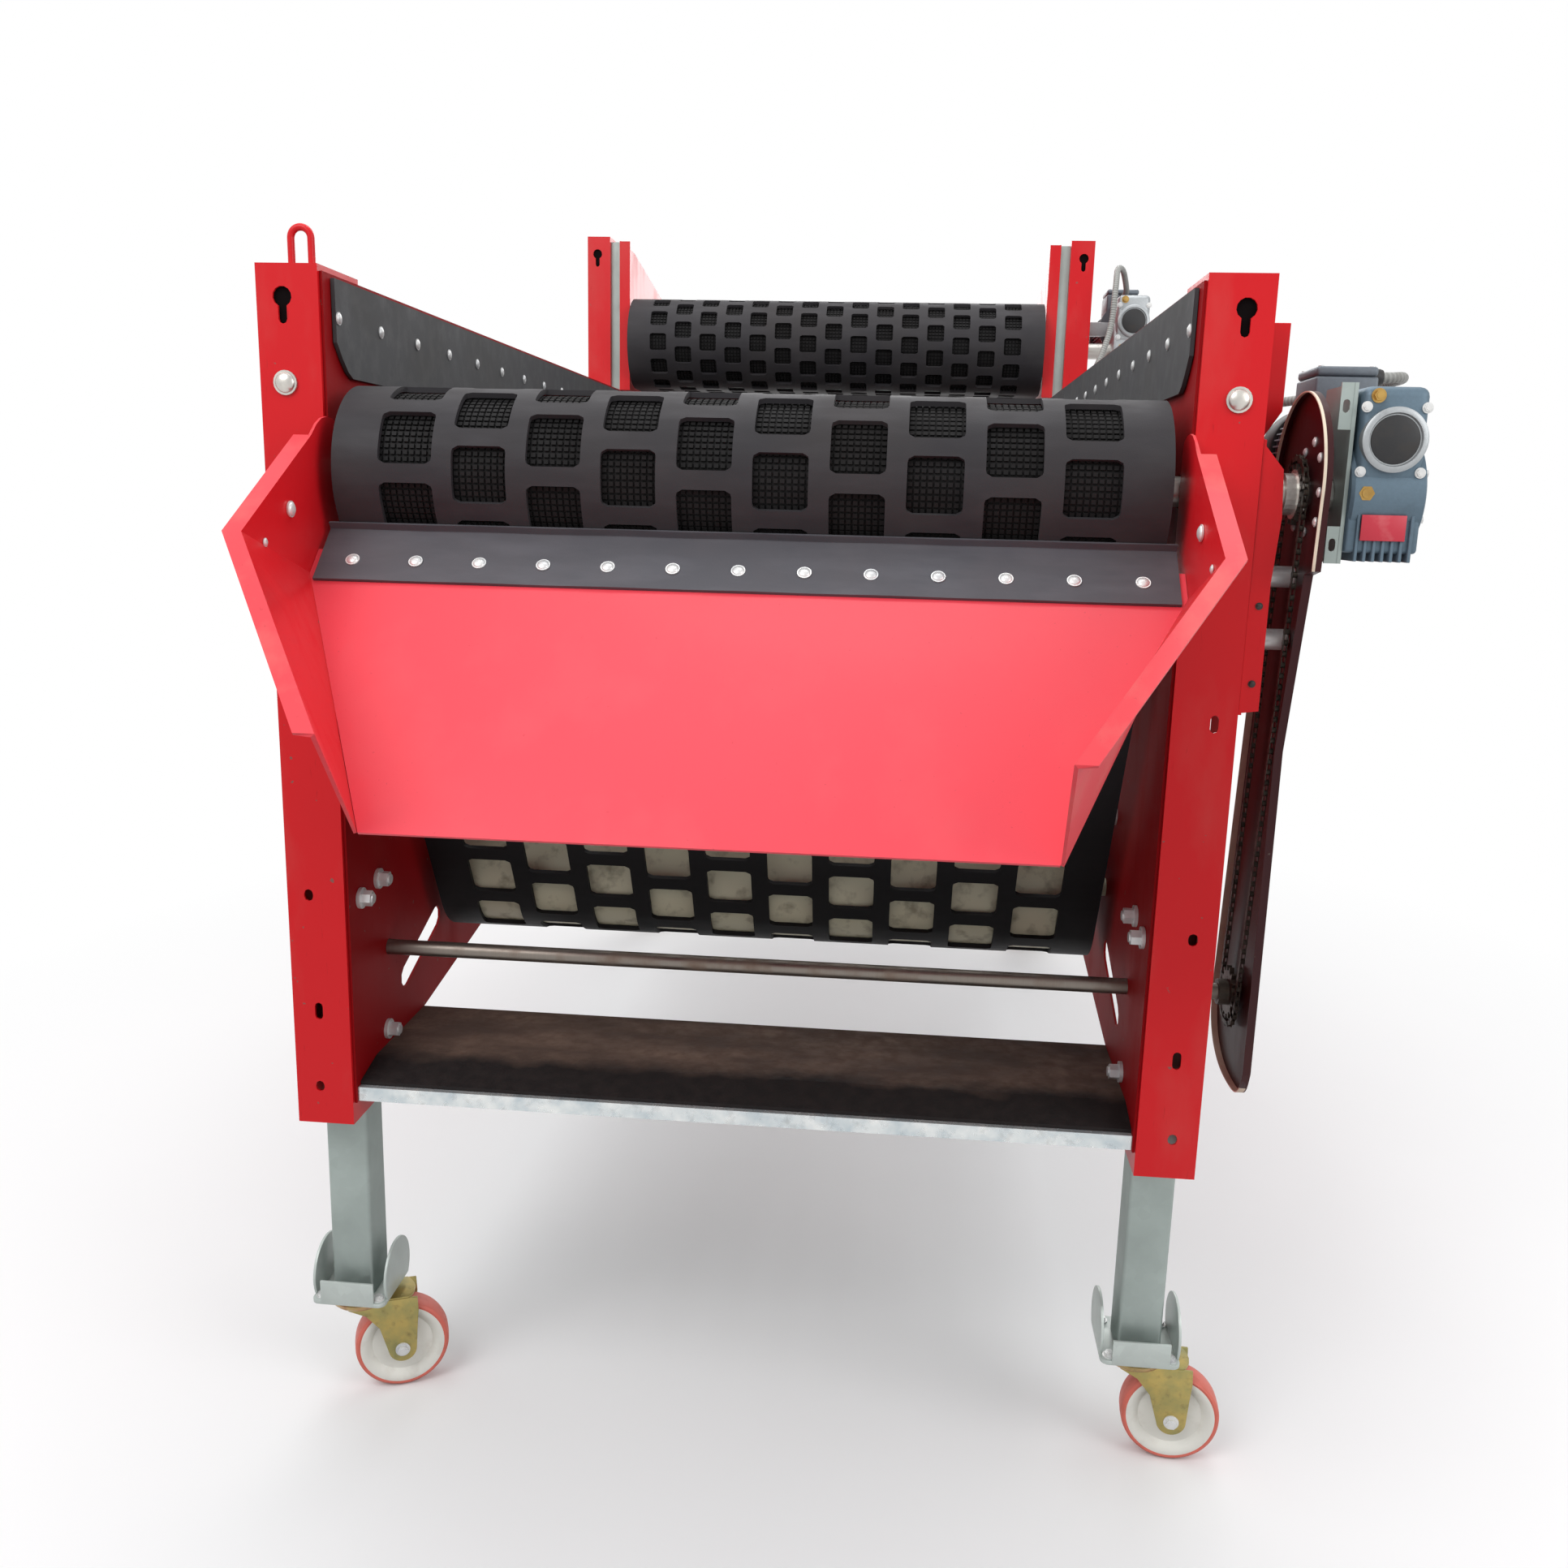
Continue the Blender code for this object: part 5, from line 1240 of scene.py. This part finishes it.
# ---- drive side -----------------------------------------------------------------------------
def gear_case(tag, side, y, z, finish):
    """A worm gearbox: square case, worm housing with its end cap, plugs, fins and screws."""
    far = side + 0.076
    centre = (side + far) / 2
    worm = z + WORM_RISE
    case = block((side, y - 0.0545, z - 0.060), (far, y + 0.0565, z + 0.020))
    piece(f"{tag}_case", mesh_of(case, 0.004, 3), finish, "frame", (tag,))
    upper = block((side + 0.004, y - 0.0580, z + 0.012), (far - 0.004, y + 0.0645, z + 0.1115))
    piece(f"{tag}_worm_housing", mesh_of(upper, 0.010, 4), finish)
    bore, near, out = SHAFT + 0.0003, side - centre, far - centre
    drum = [(bore, near + 0.0005), (0.058, near + 0.0005), (0.0605, near + 0.004), (0.0605, out),
            (0.054, out + 0.003), (0.034, out + 0.0045), (0.031, out + 0.002),
            (0.026, out + 0.002), (0.024, out + 0.0045), (bore, out + 0.0045)]
    drum = mesh_of(lathe(drum, (centre, y, z), ACROSS, 64, closed=True))
    piece(f"{tag}_wheel_housing", drum, finish)
    ring = [(0, 0.010), (0.0335, 0.010), (0.0335, -0.002), (0.0310, -0.0036), (0.0275, -0.0036),
            (0.0262, -0.0010), (0, -0.0004)]
    piece(f"{tag}_cap_ring", mesh_of(lathe(ring, (centre, y - 0.0620, worm), ALONG, 64)),
          "silver")
    cap = [(0, -0.0030), (0.020, -0.0030), (0.0248, -0.0015), (0.0256, 0.001), (0, 0.001)]
    piece(f"{tag}_cap", mesh_of(lathe(cap, (centre, y - 0.0625, worm), ALONG, 64)), "black")
    plugs = [seat((side + 0.016, y - 0.0544, z + 0.002), (0, -1, 0)),
             seat((centre, y - 0.002, z - 0.0600), (0, 0, -1))]
    heads(f"{tag}_plugs", HEXES, plugs, 0.0082, 0.0060, "brass")
    vent = [seat((side + 0.018, y - 0.0578, z + 0.1015), (0, -1, 0))]
    heads(f"{tag}_vent", HEXES, vent, 0.0056, 0.0050, "brass")
    fins = [block((side + 0.010 + 0.0092 * i, y - 0.0575, z - 0.0690),
                  (side + 0.0136 + 0.0092 * i, y + 0.0560, z - 0.0200)) for i in range(7)]
    piece(f"{tag}_fins", mesh_of(together(*fins), 0.0006, 1), finish)
    screws = [seat((far + 0.0022, *spot), ACROSS) for spot in arc((y, z), 0.048, 30, 330, 5)]
    screws += [seat((centre + sx * 0.0305, y - 0.0576, worm + sz * 0.0330), (0, -1, 0))
               for sx in (-1, 1) for sz in (-1, 1)]
    heads(f"{tag}_screws", HEXES, screws, 0.0042, 0.0034, "zinc")


def motor(tag, side, y, z):
    """A motor with cooling fins, fan cowl and terminal box."""
    centre = side + 0.038
    start = y + 0.0655
    height = z + WORM_RISE
    origin = (centre, start, height)
    shell = [(0, 0.0005), (0.0555, 0.0005), (0.0555, 0.0095), (0.052, 0.011), (0.041, 0.0165),
             (0.041, 0.024), (0.0455, 0.028), (0.0455, 0.170), (0, 0.170)]
    piece(f"{tag}_shell", mesh_of(lathe(shell, origin, ALONG, 64)), "motor", "frame", (tag,))
    cowl = [(0, 0.1690), (0.0515, 0.1690), (0.0525, 0.1710), (0.0525, 0.2150), (0.0470, 0.2240),
            (0.0300, 0.2245), (0.0290, 0.2225), (0, 0.2225)]
    piece(f"{tag}_fan_cowl", mesh_of(lathe(cowl, origin, ALONG, 64)), "black")
    places = []
    fins, box_span = 40, 0.62           # the fins leave the terminal box's foot free
    along = Vector(ALONG)
    for i in range(fins):
        angle = math.tau * (i + 0.5) / fins
        if abs(angle - math.pi / 2) < box_span:
            continue
        way = Vector((math.cos(angle), 0, math.sin(angle)))
        turn = Matrix((along.cross(way), along, way)).transposed()
        places.append((at(centre, start + 0.099, height) + way * 0.0470, turn.to_euler()))
    repeated(f"{tag}_cooling_fins", STUDS, places, {
        "Width": 0.0017, "Length": 0.136, "Height": 0.0056}, "motor", "frame",
        smooth=0)
    box_low = (centre - 0.0355, start + 0.0555, height + 0.034)
    box_high = (centre + 0.0355, start + 0.1395, height + 0.080)
    piece(f"{tag}_terminal_box", mesh_of(block(box_low, box_high), 0.003, 3), "motor")
    lid = block((box_low[0] + 0.0005, box_low[1] + 0.0005, box_high[2] + 0.0003),
                (box_high[0] - 0.0005, box_high[1] - 0.0005, box_high[2] + 0.0115))
    piece(f"{tag}_terminal_lid", mesh_of(lid, 0.004, 3), "motor")
    screws = [seat((centre + sx * 0.029, start + 0.0975 + sy * 0.034, box_high[2] + 0.0115),
                   UP) for sx in (-1, 1) for sy in (-1, 1)]
    heads(f"{tag}_lid_screws", DOMES, screws, 0.0030, 0.0020, "zinc")


def guard():
    """The chain cover: a flat sheet with a pale rim towards the post, its bolts and spacers. The
    sheet and the rest of its rim wear red paint darkened as painted shade.
    """
    foot = [(0.1648, 0.600), (0.1588, 0.558), (0.133, 0.5285), (0.087, 0.5125), (0.025, 0.5125),
            (-0.0045, 0.5245), (-0.0178, 0.551)]
    foot = [(v.x, v.y) for v in smooth([(y, z, 0) for y, z in foot], 5)]
    outline = [(-0.0876, 1.1452)] + arc((0.005, DECK + 0.010), 0.0998, 190, -18, 60) + foot
    outline += [(-0.0158, 0.940), (-0.0618, 1.1402)]
    inner = []
    count = len(outline)
    for i, here in enumerate(outline):
        here = Vector(here)
        one = (here - Vector(outline[i - 1])).normalized()
        two = (Vector(outline[(i + 1) % count]) - here).normalized()
        mean = (one + two).normalized()
        inner.append(tuple(here + Vector((mean.y, -mean.x)) * 0.0014 / max(mean.dot(one), 0.6)))
    mouth, floor, back = 0.6022, 0.6100, 0.6115     # rim's edge, sheet's inner and outer face
    band = mouth + 0.0030

    def sheet(work):
        bore = arc((0, DECK), 0.0185, 0, 350, 35)
        rings = [[work.verts.new(at(x, y, z)) for y, z in ring] for x in (back, floor)
                 for ring in (outline, bore)]
        skin(work, rings[::2], caps=False)
        skin(work, rings[1::2], caps=False)
        for pair in (rings[:2], rings[2:]):
            edges = [work.edges.get((loop[i], loop[(i + 1) % len(loop)]))
                     for loop in pair for i in range(len(loop))]
            bmesh.ops.triangle_fill(work, edges=edges, use_beauty=True)

    def rim(first, last, low, high):
        """Adds the folded edge between two of the outline's corners."""
        pairs = [(outline[i % count], inner[i % count]) for i in range(first, last + 1)]
        return lambda work: skin(work, [[work.verts.new(at(x, *spot)) for spot, x in (
            (out, high), (out, low), (into, low), (into, high))] for out, into in pairs])

    # painted shade: the sheet and the dark part of its rim take the red paint darkened as shade
    piece("chain_guard_sheet", mesh_of(sheet), "guard_shade_red", "frame", ("chain_guard",))
    lobe_end, foot_end = 61, 61 + len(foot) - 4
    dark = together(rim(foot_end, count + lobe_end, band, floor + 0.0001),
                    rim(foot_end, count, mouth, band))
    piece("chain_guard_rim", mesh_of(dark), "guard_shade_red")
    pale = together(rim(0, lobe_end, mouth, band),
                    rim(lobe_end, foot_end, mouth, floor + 0.0001))
    piece("chain_guard_edge", mesh_of(pale), "pale_edge")
    ring = ((-0.025, 1.280), (0.007, 1.270), (-0.050, 1.263), (-0.058, 1.227), (-0.055, 1.196),
            (-0.018, 1.185), (0.026, 1.190), (0.045, 1.262))
    places = [seat((floor - 0.0001, *spot), (-1, 0, 0)) for spot in ring]
    places += [seat((back + 0.0001, *spot), ACROSS)
               for spot in [*ring, *((SPACER_PLACE, z) for z in SPACERS)]]
    heads("guard_bolts", DOMES, places, 0.0046, 0.0030, "zinc", smooth=60.0)
    sleeve = [(0.0112, 0.5552), (0.0119, 0.5556), (0.0119, 0.6088), (0.0112, 0.6092)]
    sleeves = [lathe(sleeve, (0, SPACER_PLACE, z), ACROSS, 40, closed=True) for z in SPACERS]
    piece("guard_spacer_sleeves", mesh_of(together(*sleeves)), "zinc")


def chain():
    """Links round both sprockets: a straight run and a half turn, then the same back."""
    starts = [Vector((0, DECK)), Vector(CROSS)]
    radius, links, plane = 0.0387, 116, 0.601
    straight = (starts[1] - starts[0]).length
    loop = straight + math.pi * radius
    pitch = 2 * loop / links
    across = Vector(ACROSS)
    places = []
    for i in range(links):
        back, left = divmod(i * pitch, loop)
        start, end = starts[int(back)], starts[1 - int(back)]
        way = (end - start).normalized()
        normal = Vector((way.y, -way.x))
        if left < straight:
            spot, heading = start + normal * radius + way * left, way
        else:
            turn = (left - straight) / radius
            spot = end + (normal * math.cos(turn) + way * math.sin(turn)) * radius
            heading = way * math.cos(turn) - normal * math.sin(turn)
        ahead = Vector((0, heading.x, heading.y))
        form = Matrix((ahead, across.cross(ahead), across)).transposed()
        places.append((at(plane, spot.x, spot.y), form.to_euler()))
    thing = repeated("roller_chain_links", LINKS, places, {
        "Pitch": pitch, "Plate": 0.0010, "Width": 0.0042}, "chain", "frame")
    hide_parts("drive_chain")


CONDUIT = [                 # from the front motor's terminal box to the rear motor's
    (0.7172, 0.152, 1.364), (0.738, 0.152, 1.364), (0.757, 0.168, 1.366), (0.7636, 0.205, 1.366),
    (0.745, 0.255, 1.362), (0.690, 0.330, 1.352), (0.600, 0.420, 1.345), (0.525, 0.500, 1.350),
    (0.4915, 0.590, 1.358), (0.4858, 0.700, 1.360), (0.4858, 0.900, 1.360),
    (0.4858, 1.100, 1.360), (0.4872, 1.240, 1.364), (0.500, 1.340, 1.392),
    (0.545, 1.420, 1.470), (0.583, 1.465, 1.570), (0.592, 1.485, 1.660), (0.600, 1.530, 1.706),
    (0.620, 1.590, 1.712), (0.638, 1.650, 1.684), (0.640, 1.686, 1.675),
    (0.640, 1.7046, 1.675)]


def conduit():
    """A ribbed conduit with a gland at each end, clipped along the right side plate."""
    route = [at(*p) for p in smooth(CONDUIT, 8)]
    piece("conduit_hose", tube_mesh(route, 0.0063, 16), "hose", "frame", ("motor_conduit",))
    bore = 0.0064
    gland = [(bore, 0.0002), (0.0098, 0.0002), (0.0098, 0.0085), (0.0086, 0.0120),
             (bore, 0.0125)]
    ends = together(lathe(gland, (0.7160, 0.152, 1.364), ACROSS, 24, closed=True),
                    lathe(gland, (0.640, 1.7055, 1.675), (0, -1, 0), 24, closed=True))
    piece("conduit_glands", mesh_of(ends), "black")
    clip = [(bore, -0.005), (0.0072, -0.005), (0.0072, 0.005), (bore, 0.005)]
    rings = [lathe(clip, (0.4858, y, 1.360), ALONG, 24, closed=True)
             for y in (0.72, 0.92, 1.12)]
    piece("conduit_clips", mesh_of(together(*rings)), "zinc")


def drive_side():
    """Both gear motors, the chain drive and the conduit."""
    for end, side, y, z, finish in (("front", 0.642, 0, DECK, "casting"),
                                    ("rear", 0.602, DECK_END, FINE, "silver")):
        gear_case(f"{end}_gearbox", side, y, z, finish)
        motor(f"{end}_motor", side, y, z)
    stay = mesh_of(block((0.5506, 1.6155, 1.5805), (0.6030, 1.6345, 1.6095)), 0.0015)
    piece("rear_gearbox_stay", stay, "silver")
    tag = mesh_of(block((0.6560, -0.0600, 1.178), (0.7020, -0.0578, 1.205)), 0.0006)
    piece("gearbox_blank_tag", tag, "tag")
    guard()
    chain()
    conduit()


# ---- bolts on the frame ---------------------------------------------------------------------
WEB_BOLTS = ((0.045, 0.721), (-0.012, 0.712), (0.060, 0.512), (0.165, 1.180), (0.165, 1.275),
             (0.40, 0.700), (0.25, 0.800))          # inside the side plates
SIDE_BOLTS = ((0.165, 1.275), (0.30, 0.745), (0.24, 0.685), (0.36, 0.685), (0.80, 1.40),
              (1.20, 1.40), (1.72, 1.40), (1.90, 1.40), (1.72, 1.50), (1.90, 1.50),
              (0.45, 1.40))                         # outside them


def frame_bolts():
    """Bolts and rivets, near-black sheets that paint the shade inside the posts' keyholes, then the
    bracket's wing and the lifting loop.
    """
    for side, tag in SIDES:
        inwards, outwards = (-side, 0, 0), (side, 0, 0)
        dome = [seat((side * 0.5205, POST_FRONT - 0.0001, 1.320), (0, -1, 0))]
        heads(f"post_dome_bolt_{tag}", DOMES, dome, 0.0118, 0.0075, "dome", smooth=60.0)
        face = side * (PLATE_IN - 0.0003)
        hexes = [seat((face, *spot), inwards, 0.3 * i) for i, spot in enumerate(WEB_BOLTS)]
        heads(f"web_bolts_{tag}", HEXES, hexes, 0.0098, 0.0150, "zinc")
        for start, near, far, keyhole in (("front", 0.4830, 0.5460, 1.4120),
                                          ("mid", 0.5040, 0.5460, 1.7290)):
            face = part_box(f"{start}_post_{tag}")[0].y - HOME.y + 0.0036
            ends = sorted((side * near, side * far))
            # painted shadow: a near-black sheet behind each keyhole, where the open post shows only
            # shade
            keyhole_shade = block((ends[0], face, keyhole - 0.045),
                          (ends[1], face + 0.0012, keyhole + 0.024))
            piece(f"{start}_post_shadow_sheet_{tag}", mesh_of(keyhole_shade, 0.0004, 1), "shadow")
        face = side * (PLATE_OUT + 0.0002)
        hexes = [seat((face, *spot), outwards, 0.2 * i) for i, spot in enumerate(SIDE_BOLTS)]
        heads(f"side_bolts_{tag}", HEXES, hexes, 0.0080, 0.0065, "zinc")
        cheek = side * (PLATE_IN - 0.0045)
        heads(f"cheek_bolt_{tag}", DOMES, [seat((cheek, -0.161, 1.183), inwards)], 0.0075,
              0.0050, "zinc")
        heads(f"cheek_rivet_{tag}", DOMES, [seat((cheek, -0.222, 1.150), inwards)], 0.0040,
              0.0025, "zinc")
    wing = prism([(0.5541, 1.262), (0.5680, 1.272), (0.5975, 1.318), (0.5980, 1.4140),
                  (0.5541, 1.4140)], 0.0725, 0.0765, in_xz)
    piece("bracket_upper_wing", mesh_of(wing, 0.0006, 1), "red")
    flange = [seat((0.5622, -0.0467, z), (0, -1, 0)) for z in (1.105, 1.020)]
    heads("bracket_rivets", DOMES, flange, 0.0035, 0.0020, "dark_steel")
    centre, bow, crown, foot = -0.4990, 0.0115, 1.474, 1.385
    route = [(centre - bow, foot), (centre - bow, 1.43)]
    route += arc((centre, crown), bow, 180, 0, 20) + [(centre + bow, 1.43), (centre + bow, foot)]
    route = [at(x, POST_FRONT + 0.0075, z) for x, z in route]
    piece("lifting_loop", tube_mesh(route, 0.0040, 18), "red", "frame",
          ("lifting_eye",))


CAD_FINISH = {              # by the start of a node's name
    "front_post": "red", "mid_post": "red", "tail_post": "red", "side_plate": "dark_red",
    "upper_plate": "red", "front_beam": "red", "tail_beam": "red", "drive_bracket": "red",
    "mid_spacer": "galvanised", "torque_arm": "galvanised", "tray_lip": "lip",
    "cross_tray": "tray", "coarse_bearing": "casting", "fine_bearing": "casting",
    "drum_sprocket": "sprocket", "cross_sprocket": "chain"}


def own_form(node):
    """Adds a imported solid's own form, so that its shading can be split at its bends."""
    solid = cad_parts[node]
    form = solid.matrix_world.copy()

    def build(work):
        corners = [work.verts.new(form @ corner.co) for corner in solid.data.vertices]
        for face in solid.data.polygons:
            work.faces.new([corners[i] for i in face.vertices])
    return build


def chute():
    """The chute's sheets, flat between their bends, in pale pink paint that is painted glare."""
    for node, finish in (("chute_pan", "pan_glare_red"), ("chute_cheek_left", "glare_lit_red"),
                         ("chute_cheek_right", "glare_lit_red")):
        piece(node + "_sheet", mesh_of(own_form(node)), finish, "frame", (node,), smooth=20.0)


def dress_solids():
    """Finishes for the solids that stay as they are."""
    for name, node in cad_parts.items():
        for start, finish in CAD_FINISH.items():
            if name.startswith(start):
                node.data.materials.clear()
                node.data.materials.append(FINISH[finish])


finishes()
studio()
surroundings()
HEXES = hex_bolt_tree()
DOMES = dome_tree()
STUDS = stud_tree()
LINKS = link_tree()
dress_solids()
belts()
rolling()
skirts()
chute()
flap()
legs()
drive_side()
frame_bolts()
